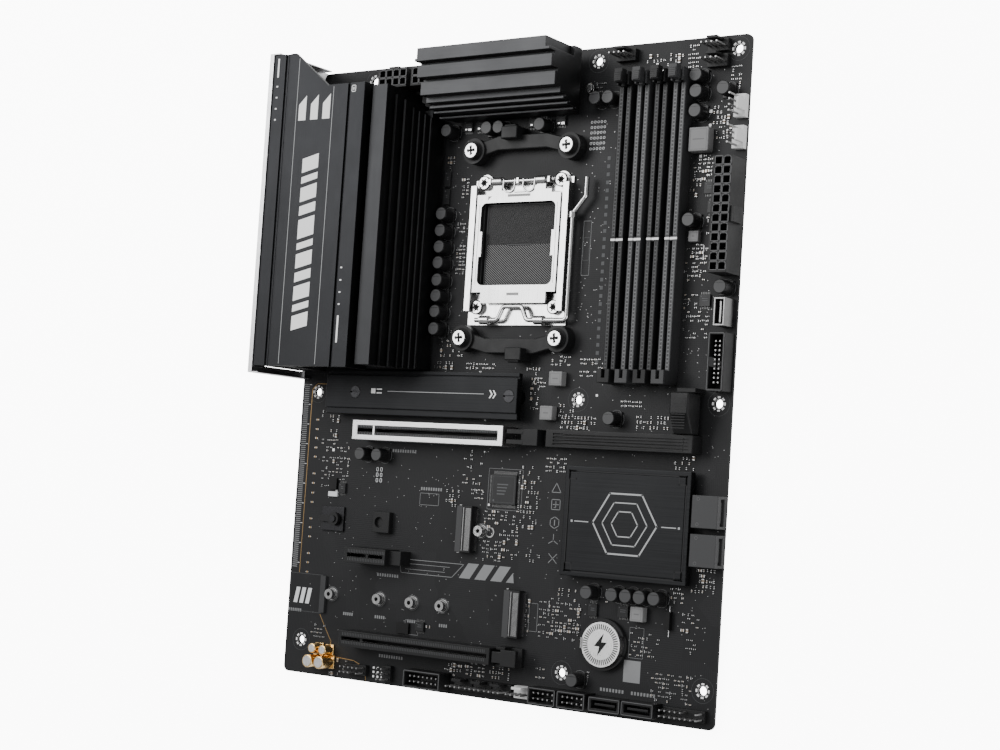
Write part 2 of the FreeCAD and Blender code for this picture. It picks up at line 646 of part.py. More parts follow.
def usb_c_stack():
    """The reversible socket with two flat sockets under it."""
    y = port_y(S.usb_c_at)
    body = rear_block(y, TOP, S.usb_w, S.usb_h - 6.0)
    holes = [mouth(y, TOP + 1.4 + level * S.usb_pitch, S.usb_mouth_w, S.usb_mouth_h, S.usb_depth)
             for level in range(2)]
    slot = mouth(y, TOP + 2.2 + 2 * S.usb_pitch, 9.0, 3.2, S.usb_depth)
    tongue = box((PORT_X + 1.5, y - 3.4, TOP + 3.5 + 2 * S.usb_pitch), (S.usb_depth, 6.8, 0.7))
    flat = [box((PORT_X + 1.5, y - 5.0, TOP + 4.2 + level * S.usb_pitch), (S.usb_depth, 10.0, 1.6))
            for level in range(2)]
    return fuse(cut(body, *holes, slot), tongue, *flat)


def make_usb():
    """Two tall stacks of flat sockets and the stack with the reversible one."""
    tall = [usb_stack(port_y(S.usb_at + index * S.usb_step)) for index in range(2)]
    node("usb_ports", group(*tall, usb_c_stack()))


def make_lan():
    """The network socket above two flat sockets."""
    y = port_y(S.lan_at)
    body = rear_block(y, TOP, S.lan_w, S.usb_h)
    holes = [mouth(y, TOP + 1.4 + level * S.usb_pitch, S.usb_mouth_w, S.usb_mouth_h, S.usb_depth)
             for level in range(2)]
    flat = [box((PORT_X + 1.5, y - 5.0, TOP + 4.2 + level * S.usb_pitch), (S.usb_depth, 10.0, 1.6))
            for level in range(2)]
    z = TOP + 2.0 + 2 * S.usb_pitch
    jack = mouth(y, z, 11.8, 8.0, 12.6)
    latch_slot = mouth(y, z + 7.0, 6.0, 3.6, 12.6)
    node("network_port", fuse(cut(body, *holes, jack, latch_slot), *flat))


def make_audio():
    """The audio block with its two columns of round jacks."""
    y = port_y(S.audio_at)
    body = rear_block(y, TOP, S.audio_w, S.audio_h)
    rings = []
    bores = []
    for column in (-1, 1):
        for level in range(3):
            place = (PORT_X - 0.6, y + column * S.audio_w / 4, TOP + S.audio_h * (2 * level + 1) / 6)
            rings.append(rod(place, S.jack_ring_r, 1.6, "x"))
            bores.append(rod(place, S.jack_r, 14.0, "x"))
    node("audio_jacks", cut(fuse(body, *rings), *bores))


def make_antennas():
    """Two threaded antenna posts on a bracket block."""
    y = port_y(S.antenna_at)
    body = box((PORT_X + 2.0, y - 5.5, TOP), (10.0, 11.0, S.usb_h))
    posts = []
    for z in (S.antenna_low, S.antenna_high):
        place = (S.shield_x - S.antenna_len, y, TOP + z)
        length = S.antenna_len + 4.0
        posts.append(cut(rod(place, S.antenna_r, length, "x"), rod(place, S.antenna_r - 1.1, 5.0, "x")))
    node("antenna_posts", fuse(body, *posts))


def make_video():
    """Two display sockets, one above the other."""
    y = port_y(S.video_at)
    body = rear_block(y, TOP, S.video_w, S.video_h)
    lower = mouth(y, TOP + 2.2, 16.2, 5.4, S.usb_depth)
    upper = mouth(y, TOP + 13.4, 14.6, 5.2, S.usb_depth)
    tongues = [box((PORT_X + 1.5, y - 6.0, TOP + z), (S.usb_depth, 12.0, 1.2)) for z in (4.4, 15.4)]
    node("video_ports", fuse(cut(body, lower, upper), *tongues))


def make_button():
    """The firmware button's case and its sprung plunger."""
    y = port_y(S.button_at)
    z = TOP + S.button_z
    case = box((PORT_X + 3.4, y - S.button_case / 2, TOP), (S.button_case, S.button_case, S.button_case_h))
    well = rod((PORT_X + 3.0, y, z), S.button_r + S.bore_gap, 5.0, "x")
    node("button_case", cut(case, well))
    node("firmware_button", group(rod((PORT_X + 0.2, y, z), S.button_r, 6.0, "x")))


def make_shield():
    """The rear shield plate with an opening round each port."""
    x = S.shield_x
    plate = box((x, IO_Y, -S.io_drop), (S.shield_t, S.io_len, S.io_h))
    roof = box((x, IO_Y, S.io_h - S.io_drop - S.shield_t), (S.shield_lip, S.io_len, S.shield_t))
    ends = [box((x, y, TOP + 0.4), (S.shield_lip + 4.0, S.shield_t, S.io_h - S.io_drop - TOP - 0.4))
            for y in (IO_Y, IO_Y + S.io_len - S.shield_t)]
    fit = 2 * S.gap

    def opening(y, z, width, height):
        return box((x - 1, y - dim(width) / 2 - S.gap, z - S.gap), (3.0, width + fit, height + fit))

    holes = [opening(port_y(S.usb_at + index * S.usb_step), TOP, S.usb_w, S.usb_h) for index in range(2)]
    holes.append(opening(port_y(S.usb_c_at), TOP, S.usb_w, S.usb_h - 6.0))
    holes.append(opening(port_y(S.lan_at), TOP, S.lan_w, S.usb_h))
    holes.append(opening(port_y(S.audio_at), TOP, S.audio_w, S.audio_h))
    holes.append(opening(port_y(S.video_at), TOP, S.video_w, S.video_h))
    holes += [rod((x - 1, port_y(S.antenna_at), TOP + z), S.antenna_r + S.gap, 3.0, "x")
              for z in (S.antenna_low, S.antenna_high)]
    holes.append(rod((x - 1, port_y(S.button_at), TOP + S.button_z), S.button_r + S.gap, 3.0, "x"))
    node("io_shield", cut(fuse(plate, roof, *ends), *holes))


def make_cover():
    """The angular cover over the ports: a plate with two grooves, a notched end and a skirt."""
    body = new_body("io_cover_plate")
    x0 = S.shield_x + S.shield_t + 0.2
    x1 = x0 + S.cover_w
    y0 = IO_Y + S.cover_inset
    y1 = IO_Y + S.io_len - S.shield_t - 0.2
    short = IO_Y + S.io_len - S.cover_short
    z0 = COVER_TOP - S.cover_t
    plan = sketch_on(body, "XY_Plane", z0)
    outline(plan, [(x0, y0), (x1, y0), (x1, short), (S.cover_v_end_x, short), (S.cover_v_x, y1), (x0, y1)])
    pad(body, plan, S.cover_t)
    grooves = [box((x, y0, COVER_TOP - S.cover_groove_d), (S.cover_groove, S.io_len, S.cover_groove_d + 1))
               for x in (x0 + S.cover_band, x1 - S.cover_band_w - S.cover_groove)]
    edge_drop = box((x0 + S.cover_band - 1.4, y0, COVER_TOP - 0.8), (2.2, S.io_len, 2.0))
    skirt = box((x1 - S.cover_t, y0, COVER_TOP - S.cover_skirt), (S.cover_t, short - y0, S.cover_skirt))
    node("io_cover", cut(fuse(body, skirt), *grooves, edge_drop))


# ---------------------------------------------------------------- power-stage heatsinks

# rear heatsink's bars: offset from its rear face, width, height above the board's underside, shortening
REAR_BARS = ((19.2, 8.6, 37.6, 0.0), (28.6, 1.3, 32.0, 4.0), (31.0, 1.2, 28.0, 6.0))
REAR_FINS = 4
# top heatsink's ledges: distance from its outer face, depth, height above the board's underside
TOP_LEDGES = ((0.0, 6.4, 37.0), (6.4, 1.4, 32.0), (7.8, 5.8, 34.5), (13.6, 1.3, 29.0), (14.9, 6.5, 31.0),
              (21.4, 2.6, 26.0), (24.0, 0.8, 21.0), (24.8, 1.3, 23.0), (26.1, 0.6, 17.0), (26.7, 1.1, 19.5),
              (27.8, 0.6, 12.0), (28.4, 1.0, 14.5))
REAR_STAGES = 10
TOP_STAGES = 5


def make_rear_heatsink():
    """The long finned heatsink beside the cover: stepped bars, a bank of thin fins and a foot."""
    x0 = S.sink_x
    y0 = IO_Y + S.sink_inset
    full = IO_Y + S.io_len - S.sink_from_top - y0
    base_z = TOP + S.choke_h + S.pad_t
    pieces = [box((x0, y0, base_z), (S.sink_w, full - 9.0, S.sink_base_h - S.choke_h + 1.6))]
    pieces.append(box((x0 + S.sink_w - 9.6, y0, TOP + S.sink_foot), (9.6, full - 10.0, S.choke_h)))
    pieces.append(box((x0 + 1.0, y0 + 6, base_z), (12.5, full - 14.0, COVER_TOP - S.cover_t - base_z)))
    for offset, width, height, trim in REAR_BARS:
        pieces.append(box((x0 + offset, y0, base_z), (width, full - trim, height - base_z)))
    pieces.append(box((x0 + 18.2, y0, base_z), (14.0, full - 7.0, 14.0)))
    fin_x = x0 + S.fin_start
    for index in range(REAR_FINS):
        height = S.fin_top - index * S.fin_drop
        pieces.append(box((fin_x + index * S.fin_pitch, y0, base_z),
                          (S.fin_t, full - 9.0 - index * S.fin_trim, height - base_z)))
    node("vrm_heatsink_rear", fuse(*pieces))


def make_top_heatsink():
    """The top heatsink: three broad bands that step down to narrow ledges."""
    x0 = S.top_sink_x
    y1 = S.board_h - S.top_sink_inset
    y0 = y1 - S.top_sink_d
    base_z = TOP + S.choke_h + S.pad_t
    pieces = []
    for inset, depth, height in TOP_LEDGES:
        pieces.append(box((x0, y1 - inset - depth, base_z), (S.top_sink_w, depth, height - base_z)))
    pieces.append(box((x0 + 3.0, y0, TOP + S.sink_foot), (S.top_sink_w - 6.0, 9.0, S.choke_h)))
    sink = fuse(*pieces)
    step = box((x0 + S.top_sink_w - 2.2, y1 - 5.0, dim(16.0)), (3.0, 6.0, 30.0))
    notch = box((x0 - 1.0, y1 - 5.0, dim(20.0)), (2.0, 6.0, 30.0))
    node("vrm_heatsink_top", cut(sink, step, notch))


def make_under_heatsinks():
    """The pads below the heatsinks; returns the power stages and chokes that they rest on."""
    y0 = IO_Y + S.sink_inset
    stage_x = S.sink_x + S.sink_w - 4.8
    choke_x = S.sink_x + S.sink_w - 15.6
    top_y = S.board_h - S.top_sink_inset - S.top_sink_d
    row_y = [y0 + 8 + index * S.stage_pitch for index in range(REAR_STAGES)]
    stages = [block(stage_x, y, TOP, 6.0, 8.0, S.stage_h) for y in row_y]
    chokes = [block(choke_x, y, TOP, S.choke, S.choke, S.choke_h) for y in row_y]
    stage_y = top_y + 5.0
    choke_y = top_y + 15.6
    for index in range(TOP_STAGES):
        x = S.top_sink_x + 12 + index * S.top_stage_pitch
        stages.append(block(x, stage_y, TOP, 8.0, 6.0, S.stage_h))
        chokes.append(block(x, choke_y, TOP, S.choke, S.choke, S.choke_h))
    stage_top = TOP + S.stage_h
    choke_top = TOP + S.choke_h
    middle_y = y0 + 8 + (REAR_STAGES - 1) * S.stage_pitch / 2
    middle_x = S.top_sink_x + 12 + (TOP_STAGES - 1) * S.top_stage_pitch / 2
    pads = [block(stage_x, middle_y, stage_top, 7.0, S.pad_strip, S.sink_foot - S.stage_h),
            block(choke_x, middle_y, choke_top, 9.0, S.pad_strip, S.pad_t),
            block(middle_x, stage_y, stage_top, S.top_pad_strip, 6.0, S.sink_foot - S.stage_h),
            block(middle_x, choke_y, choke_top, S.top_pad_strip, 9.0, S.pad_t)]
    feature("thermal_pads", pads)
    return stages, chokes


# ---------------------------------------------------------------- memory slots

DIMM_X = S.board_w - S.dimm_x
DIMM_Y = S.board_h - S.dimm_from_top


def make_dimm(index):
    """One memory slot with its fixed end and the cheeks that carry its latch."""
    x = DIMM_X + index * S.dimm_pitch
    y1 = DIMM_Y + S.dimm_len
    body = centred(x, DIMM_Y + S.dimm_len / 2, TOP, (S.dimm_w, S.dimm_len - 2 * S.dimm_end, S.dimm_h))
    fixed = box((x - S.dimm_w / 2, DIMM_Y, TOP), (S.dimm_w, S.dimm_end, S.dimm_end_h))
    foot = box((x - S.dimm_w / 2, y1 - S.dimm_end, TOP), (S.dimm_w, S.dimm_end, 2.0))
    cheeks = [box((x + side * (S.dimm_w - S.cheek_t) / 2 - S.cheek_t / 2, y1 - S.dimm_end, TOP),
                  (S.cheek_t, S.dimm_end, S.dimm_end_h - 2.0)) for side in (-1, 1)]
    groove_z = TOP + S.dimm_h - S.dimm_groove_d
    groove = box((x - S.dimm_groove / 2, DIMM_Y + 2.2, groove_z),
                 (S.dimm_groove, S.dimm_len - S.dimm_end - 2.2, S.dimm_end_h))
    key = box((x - S.dimm_w / 2 + 1, DIMM_Y + S.dimm_key_y - S.dimm_key / 2, TOP + 1),
              (S.dimm_w - 2, S.dimm_key, S.dimm_h - 1.4))
    slot = fuse(cut(fuse(body, fixed, foot, *cheeks), groove), key)
    pin_y = y1 - S.dimm_end / 2
    axle = rod((x - S.dimm_w / 2, pin_y, TOP + S.latch_pivot_z), S.latch_pivot_r, S.dimm_w, "x")
    node(f"dimm_slot_{index + 1}", fuse(slot, axle))


def make_dimm_latch(index):
    """The lever that locks and lifts a memory module, turning on the slot's axle."""
    x = DIMM_X + index * S.dimm_pitch
    y1 = DIMM_Y + S.dimm_len
    pin_y = y1 - S.dimm_end / 2
    pin_z = TOP + S.latch_pivot_z
    half = S.latch_w / 2
    stem = box((x - half, pin_y - 1.9, TOP + 3.4), (S.latch_w, 3.8, S.latch_h - 5.0))
    head = box((x - half - 0.2, pin_y - 2.6, TOP + S.dimm_end_h - 1.7),
               (S.latch_w + 0.4, S.latch_d + 0.6, S.latch_h - S.dimm_end_h - 0.4))
    tooth = box((x - half + 1.0, pin_y - 3.6, TOP + S.dimm_end_h - 4.6), (S.latch_w - 2.0, 2.6, 2.4))
    bore = rod((x - half - 1, pin_y, pin_z), S.latch_pivot_r + S.bore_gap, S.latch_w + 2, "x")
    node(f"dimm_latch_{index + 1}", cut(fuse(stem, head, tooth), bore))


# ---------------------------------------------------------------- expansion slots

def slot_y(step):
    """The centre line of an expansion slot, counted down from the first."""
    return S.pcie_y - step * S.pcie_pitch


def slot_body(y, length):
    """A slot housing with its card groove and key."""
    x0 = S.pcie_x
    housing = box((x0, y - S.pcie_w / 2, TOP), (length, S.pcie_w, S.pcie_h))
    groove = box((x0 + 1.6, y - S.pcie_groove / 2, TOP + S.pcie_h - S.pcie_groove_d),
                 (length - 3.2, S.pcie_groove, S.pcie_groove_d + 1))
    key = box((x0 + S.pcie_key_x - S.pcie_key / 2, y - S.pcie_w / 2 + 1, TOP + 1),
              (S.pcie_key, S.pcie_w - 2, S.pcie_h - 2))
    return fuse(cut(housing, groove), key)


def make_slots():
    """The first long slot with its steel sleeve, and the short slot."""
    length = S.pcie_len - 2 * S.shield_wall
    y = slot_y(0)
    inner = box((S.pcie_x + S.shield_wall, y - S.pcie_w / 2, TOP), (length, S.pcie_w, S.pcie_h))
    outer = box((S.pcie_x, y - S.pcie_w / 2 - S.shield_wall, TOP),
                (S.pcie_len, S.pcie_w + 2 * S.shield_wall, S.pcie_h + 0.4))
    window = box((S.pcie_x + 3.0, y - 2.3, TOP), (S.pcie_len - 6.0, 4.6, S.pcie_h + 2))
    node("pcie_slot_sleeve", cut(outer, inner, window))
    housing = slot_body(y, S.pcie_len)
    trim = [box((x, y - S.pcie_w, TOP), (2.0, 2 * S.pcie_w, S.pcie_h + 2))
            for x in (S.pcie_x - 2 + S.shield_wall, S.pcie_x + S.pcie_len - S.shield_wall)]
    node("pcie_slot_first", cut(housing, *trim))
    short = slot_body(slot_y(3), S.pcie_x1_len)
    stop = box((S.pcie_x + S.pcie_x1_len, slot_y(3) - 3.4, TOP), (7.0, 6.8, 8.0))
    node("pcie_slot_short", fuse(short, stop))


def make_first_latch():
    """The first slot's card latch, its rail cover and the release button on the far end."""
    y = slot_y(0)
    x0 = S.pcie_x + S.pcie_len + S.latch_travel / 2
    arm_y = S.pcie_w / 2 - 1.4
    arms = [box((x0, y + side * arm_y - 1.1, TOP + 3.0), (9.0, 2.2, 7.4)) for side in (-1, 1)]
    body = box((x0 + 8.0, y - S.pcie_w / 2, TOP + 0.6), (9.0, S.pcie_w, 9.6))
    pull = box((x0 + 16.0, y - S.pull_rod_w / 2, TOP + S.pull_rod_z), (12.0, S.pull_rod_w, S.pull_rod_h))
    node("pcie_latch_first", fuse(*arms, body, pull))
    bar = box((S.bar_x, y - S.bar_w / 2, TOP), (S.bar_len, S.bar_w, S.bar_h))
    tunnel = box((S.bar_x - 2, y - S.pull_rod_w / 2 - S.gap, TOP + S.pull_rod_z - S.gap),
                 (22.0, S.pull_rod_w + 2 * S.gap, S.pull_rod_h + 2 * S.gap))
    ridges = [box((S.bar_x + 4.0, y - S.bar_w / 2 + 1.3 + step * 1.5, TOP + S.bar_h - 0.5),
                  (S.bar_len - 6.0, 0.5, 1.0)) for step in range(4)]
    x1 = S.bar_x + S.bar_len
    wedge = new_body("pcie_release_wedge")
    side = sketch_on(wedge, "YZ_Plane", x1 - S.release_w)
    y0 = y + S.bar_w / 2 + S.gap
    y1 = y0 + S.release_d
    lift = TOP + S.release_travel + 0.6
    outline(side, [(y0, lift), (y1, lift), (y1, TOP + S.release_h), (y1 - 9.0, TOP + S.release_h),
                   (y0, TOP + S.bar_h + 1.0)])
    pad(wedge, side, S.release_w)
    node("pcie_release_button", wedge)
    guide = centred(x1 - S.release_w / 2, y1 + S.gap + 1.0, TOP, (S.release_w, 2.0, 9.0))
    wall = box((x1 - S.release_w - S.gap - 1.4, y0, TOP), (1.4, S.release_d, 8.0))
    node("pcie_release_rail", group(cut(bar, tunnel, *ridges), guide, wall))


def make_last_latch():
    """The last long slot with the carrier on its end, and the card latch that rocks there."""
    y = slot_y(5)
    x0 = S.pcie_x + S.pcie_len
    base = box((x0, y - 4.4, TOP), (12.0, 8.8, 2.2))
    ears = [box((x0 + 1.0, y + side * 4.0 - 0.7, TOP), (5.0, 1.4, 7.4)) for side in (-1, 1)]
    pivot_x = x0 + S.card_pivot_x
    pivot_z = TOP + S.card_pivot_z
    axle = rod((pivot_x, y - 4.0, pivot_z), S.card_pivot_r, 8.0, "y")
    node("pcie_slot_last", fuse(slot_body(y, S.pcie_len), base, *ears, axle))
    stem = box((x0 + 0.8, y - 2.6, TOP + 3.9), (5.2, 5.2, 6.6))
    tail = box((x0 + 5.5, y - 3.8, TOP + 8.2), (8.5, 7.6, 2.3))
    bore = rod((pivot_x, y - 4.6, pivot_z), S.card_pivot_r + S.bore_gap, 9.2, "y")
    node("pcie_latch_last", cut(fuse(stem, tail), bore))


# ---------------------------------------------------------------- M.2 sites

def m2_socket(x, y):
    """A card socket whose mouth faces the rear edge."""
    body = centred(x - 0.2, y, TOP, (S.m2_body_len, S.m2_card_w, S.m2_body_h))
    slit = box((x - S.m2_body_len, y - S.m2_card_w / 2 + 1.1, TOP + 1.7), (9.0, S.m2_card_w - 2.2, 1.1))
    return cut(body, slit)


def make_m2():
    """Two open card sockets and one below the long heatsink, with their stand-offs and latch."""
    hidden_x = S.m2_sink_x + S.m2_sink_len - 18.0
    hidden_y = S.m2_sink_y + S.m2_sink_w / 2
    node("m2_sockets", group(m2_socket(S.m2_low_x, S.m2_low_y), m2_socket(S.m2_mid_x, S.m2_mid_y),
                             m2_socket(hidden_x, hidden_y)))
    places = [(S.m2_low_x - length, S.m2_low_y) for length in (110.0, 80.0, 60.0, 42.0)]
    places.append((S.m2_mid_x + 7.4, S.m2_mid_y - 0.4))
    posts = []
    for x, y in places:
        outer = post(x, y, TOP, S.standoff_r, S.standoff_h)
        posts.append(outer.cut(post(x, y, TOP, S.standoff_bore_r, S.standoff_h)))
    feature("m2_standoffs", posts)
    latch_x = S.m2_mid_x - 80.4
    base = centred(latch_x - 2.0, S.m2_mid_y, TOP, (14.0, 12.0, S.m2_plate_t))
    pivot = rod((latch_x, S.m2_mid_y, TOP), S.m2_pivot_r, S.m2_body_h)
    node("m2_latch_base", fuse(base, pivot))
    wing_z = TOP + S.m2_plate_t + S.gap
    collar = rod((latch_x, S.m2_mid_y, wing_z), 3.2, S.m2_wing_t)
    wing = box((latch_x - 9.0, S.m2_mid_y - 1.6, wing_z), (8.0, 3.2, S.m2_wing_t))
    bore = rod((latch_x, S.m2_mid_y, TOP), S.m2_pivot_r + S.bore_gap, 6.0)
    node("m2_latch", cut(fuse(collar, wing), bore))
    pad_block = centred(S.m2_mid_x - 50.4, S.m2_mid_y, TOP, (10.2, 10.2, 3.2))
    node("m2_support_block", cut(pad_block, rod((S.m2_mid_x - 51.6, S.m2_mid_y, TOP + 1.6), 2.6, 3.0)))


def make_m2_heatsink():
    """The long flat heatsink with its stepped edge, on two screwed feet."""
    x0 = S.m2_sink_x
    y0 = S.m2_sink_y
    z = TOP + S.m2_sink_z
    low = box((x0, y0, z), (S.m2_sink_len, S.m2_sink_w, S.m2_sink_t - 1.2))
    high = box((x0, y0 + S.m2_sink_step, z), (S.m2_sink_len, S.m2_sink_w - S.m2_sink_step * 1.7, S.m2_sink_t))
    middle = y0 + S.m2_sink_w / 2
    screw_x = [x0 + 18.6, x0 + S.m2_sink_len - S.m2_screw_inset]
    feet = [rod((x, middle, TOP), 3.4, S.m2_sink_z + 0.6) for x in screw_x]
    tools = []
    for x in screw_x:
        tools.append(rod((x, middle, TOP), S.m2_screw_r + S.bore_gap, 20.0))
        tools.append(rod((x, middle, z + S.m2_sink_t - S.m2_recess), S.m2_head_r + S.bore_gap, 4.0))
    tools.append(box((x0 - 1, y0 + S.m2_sink_w - 2.6, z + S.m2_sink_t - 2.0), (S.m2_sink_len + 2, 0.8, 3.0)))
    node("m2_heatsink", cut(fuse(low, high, *feet), *tools))
    screws = []
    for x in screw_x:
        shank = rod((x, middle, TOP), S.m2_screw_r, S.m2_sink_z + S.m2_sink_t - S.m2_recess)
        head = rod((x, middle, z + S.m2_sink_t - S.m2_recess), S.m2_head_r, 1.8)
        slot = centred(x, middle, z + S.m2_sink_t - 0.7, (7.0, 0.8, 1.4))
        screws.append(cut(fuse(shank, head), slot))
    node("m2_heatsink_screws", group(*screws))


# ---------------------------------------------------------------- chipset

def make_chipset():
    """The low heatsink that covers the chipset, on two screwed legs."""
    x = S.chipset_x + S.chipset_w / 2
    y = S.chipset_y + S.chipset_d / 2
    z = TOP + S.chipset_z
    thick = S.chipset_h - S.chipset_z
    width = S.chipset_w - 2 * S.lid_rim
    depth = S.chipset_d - 2 * S.lid_rim
    slab = centred(x, y, z, (S.chipset_w, S.chipset_d, thick))
    inner = centred(x, y, z + thick - S.lid_groove_d, (width, depth, 1.0))
    island = centred(x, y, z, (width - S.lid_groove, depth - S.lid_groove, thick))
    reach_x = S.chipset_w / 2 - S.lid_leg_inset
    reach_y = S.chipset_d / 2 - S.lid_leg_inset
    legs = [rod((x + sx * reach_x, y + sy * reach_y, TOP), S.lid_leg_r, S.chipset_z + 0.5)
            for sx, sy in ((-1, 1), (1, -1))]
    node("chipset_heatsink", fuse(cut(slab, inner), island, *legs))


# ---------------------------------------------------------------- connectors

def cell_connector(x0, y0, columns, rows, ramp_side):
    """A power socket: a grid of square cells in a housing, with a locking ramp on one side."""
    width = columns * S.cell_pitch + S.plug_wall
    length = rows * S.cell_pitch + S.plug_wall
    housing = Part.makeBox(float(width), float(length), float(S.plug_h), V(float(x0), float(y0), float(TOP)))
    cells = []
    for column in range(columns):
        for row in range(rows):
            x = x0 + S.plug_wall + column * S.cell_pitch + S.cell / 2
            y = y0 + S.plug_wall + row * S.cell_pitch + S.cell / 2
            cells.append(block(x, y, TOP + S.plug_h - S.plug_depth, S.cell, S.cell, S.plug_depth + 1))
    housing = housing.cut(Part.makeCompound(cells))
    if ramp_side == "x":
        ramp = block(x0 + width + 0.9, y0 + length / 2, TOP + 3.0, 1.8, 7.0, S.plug_h - 4.0)
    else:
        ramp = block(x0 + width / 2, y0 + length + 0.7, TOP + 3.0, 6.0, 1.4, S.plug_h - 4.0)
    return housing.fuse(ramp).removeSplitter()


def make_power_connectors():
    """The main power socket on the front edge and two processor power sockets at the top."""
    main = (S.board_w - S.atx_inset, S.board_h - S.atx_from_top - S.atx_len)
    eps_y = S.board_h - S.eps_from_top
    first = (S.eps_x, eps_y)
    second = (S.eps_x + S.eps_step, eps_y)
    feature("power_sockets", [cell_connector(*main, 2, 12, "x"), cell_connector(*first, 4, 2, "y"),
                              cell_connector(*second, 4, 2, "y")])


def pin_field(x, y, columns, rows, skipped=()):
    """A header: a low plastic base with square pins through it."""
    base = block(x, y, TOP, columns * S.pin_pitch, rows * S.pin_pitch, S.pin_base_h)
    pins = []
    for column in range(columns):
        for row in range(rows):
            if (column, row) in skipped:
                continue
            px = x + (column - (columns - 1) / 2) * S.pin_pitch
            py = y + (row - (rows - 1) / 2) * S.pin_pitch
            pins.append(block(px, py, TOP + S.pin_base_h, S.pin, S.pin, S.pin_h - S.pin_base_h))
    return base.fuse(pins)


def fan_header(x, y, turned=False):
    """A four-pin header with its polarising wall."""
    along, across = (S.fan_w, S.fan_len) if turned else (S.fan_len, S.fan_w)
    base = block(x, y, TOP, along, across, S.pin_base_h + 0.8)
    wall = block(x + 2.2, y, TOP, S.fan_wall_t, S.fan_wall, S.pin_h + 1.2) if turned else \
        block(x, y + 2.2, TOP, S.fan_wall, S.fan_wall_t, S.pin_h + 1.2)
    pins = []
    for index in range(4):
        shift = (index - 1.5) * S.pin_pitch
        px, py = (x - 0.6, y + shift) if turned else (x + shift, y - 0.6)
        pins.append(block(px, py, TOP + 2, S.pin, S.pin, S.pin_h + 1.6))
    return base.fuse([wall] + pins)


def shrouded_header(x, y, length, width, columns, rows, pitch):
    """A boxed header: four walls with a key slot, and pins inside."""
    height = S.box_h
    outer = block(x, y, TOP, length, width, height)
    inner = block(x, y, TOP + 1.6, length - 2 * S.box_wall, width - 2 * S.box_wall, height)
    key = block(x, y - width / 2, TOP + 2.4, 4.2, 3.0, height) if float(length) > float(width) else \
        block(x - length / 2, y, TOP + 2.4, 3.0, 4.2, height)
    pins = []
    for column in range(columns):
        for row in range(rows):
            px = x + (column - (columns - 1) / 2) * pitch
            py = y + (row - (rows - 1) / 2) * pitch
            pins.append(block(px, py, TOP + 1.6, S.pin, S.pin, height - 3.2))
    return outer.cut(inner).cut(key).fuse(pins)


def make_headers():
    """Fan, lighting, panel, audio and serial-bus headers."""
    front = S.board_w
    top = S.board_h
    low = S.edge_row_y
    fans = [fan_header(front - 62.4, top - 5.4), fan_header(front - 15.2, top - 4.6),
            fan_header(front - 15.2, top - 11.6), fan_header(dim(113.4), low),
            fan_header(dim(124.4), low), fan_header(dim(135.2), low)]
    lights = [fan_header(front - 2.9, top - drop, True) for drop in (32.6, 46.6)]
    feature("light_headers", lights + [fan_header(dim(147.2), low)])
    fields = [pin_field(dim(48.0), low, 5, 2, ((3, 0),)),
              pin_field(dim(67.0), low, 2, 3),
              pin_field(front - 13.6, low, 8, 2, ((5, 1), (6, 1)))]
    feature("pin_headers", fans + fields)
    boxed = [shrouded_header(dim(92.8), low, dim(21.4), dim(8.2), 7, 2, S.pin_pitch)]
    boxed += [shrouded_header(dim(x), low, dim(14.8), dim(7.6), 5, 2, S.pin_pitch) for x in (160.6, 176.2)]
    boxed.append(shrouded_header(front - 4.6, top - 146.0, dim(8.0), dim(25.6), 2, 10, dim(2.0)))
    feature("box_headers", boxed)


def make_usb_c_header():
    """The small steel-shelled front-panel header."""
    x = S.board_w - 4.2
    y = S.board_h - 124.2
    shell = centred(x, y, TOP, (5.4, 12.4, 9.0))
    hollow = centred(x, y, TOP + 1.2, (3.8, 10.8, 9.0))
    tongue = centred(x, y, TOP + 1.0, (1.0, 9.4, 6.6))
    node("usb_c_header", fuse(cut(shell, hollow), tongue))


def make_sata():
    """Two right-angled drive sockets on the front edge and two upright ones at the bottom."""
    edge = []
    for y in (93.6, 76.8):
        x0 = S.board_w - S.sata_d + 0.4
        y0 = dim(y) - S.sata_len / 2
        body = box((x0, y0, TOP), (S.sata_d, S.sata_len, S.sata_h))
        hollow = box((x0 + 5.0, y0 + 1.3, TOP + 2.2), (S.sata_d, S.sata_len - 2.6, 3.4))
        tongue = box((x0 + 4.0, y0 + 2.6, TOP + 3.4), (S.sata_d - 4.8, S.sata_len - 5.2, 1.1))
        edge.append(fuse(cut(body, hollow), tongue))
    node("sata_edge_sockets", group(*edge))
    upright = []
    for x in (193.4, 210.2):
        body = centred(dim(x), S.edge_row_y, TOP, (S.sata_len + 2, 6.4, S.sata_h))
        hollow = centred(dim(x), S.edge_row_y, TOP + 2.0, (S.sata_len - 0.8, 3.6, S.sata_h))
        tongue = centred(dim(x), S.edge_row_y, TOP + 1.5, (S.sata_len - 3.6, 1.1, S.sata_h - 2.4))
        upright.append(fuse(cut(body, hollow), tongue))
    node("sata_upright_sockets", group(*upright))


# ---------------------------------------------------------------- battery and small parts

def make_battery():
    """The coin cell and its holder with a spring clip at one side."""
    x = S.battery_x
    y = S.battery_y
    cell = rod((x, y, TOP + S.battery_z), S.battery_r, S.battery_t)
    node("battery", group(cell))
    rim = rod((x, y, TOP), S.holder_r, S.battery_z + 1.6)
    well = rod((x, y, TOP + S.battery_z), S.battery_r + S.gap / 2, 6.0)
    clip = centred(x - S.battery_r - 1.6, y, TOP, (2.2, 5.0, S.battery_z + S.battery_t + 0.8))
    opening = centred(x + S.holder_r, y, TOP + S.battery_z, (5.0, 9.0, 4.0))
    node("battery_holder", cut(fuse(rim, clip), well, opening))


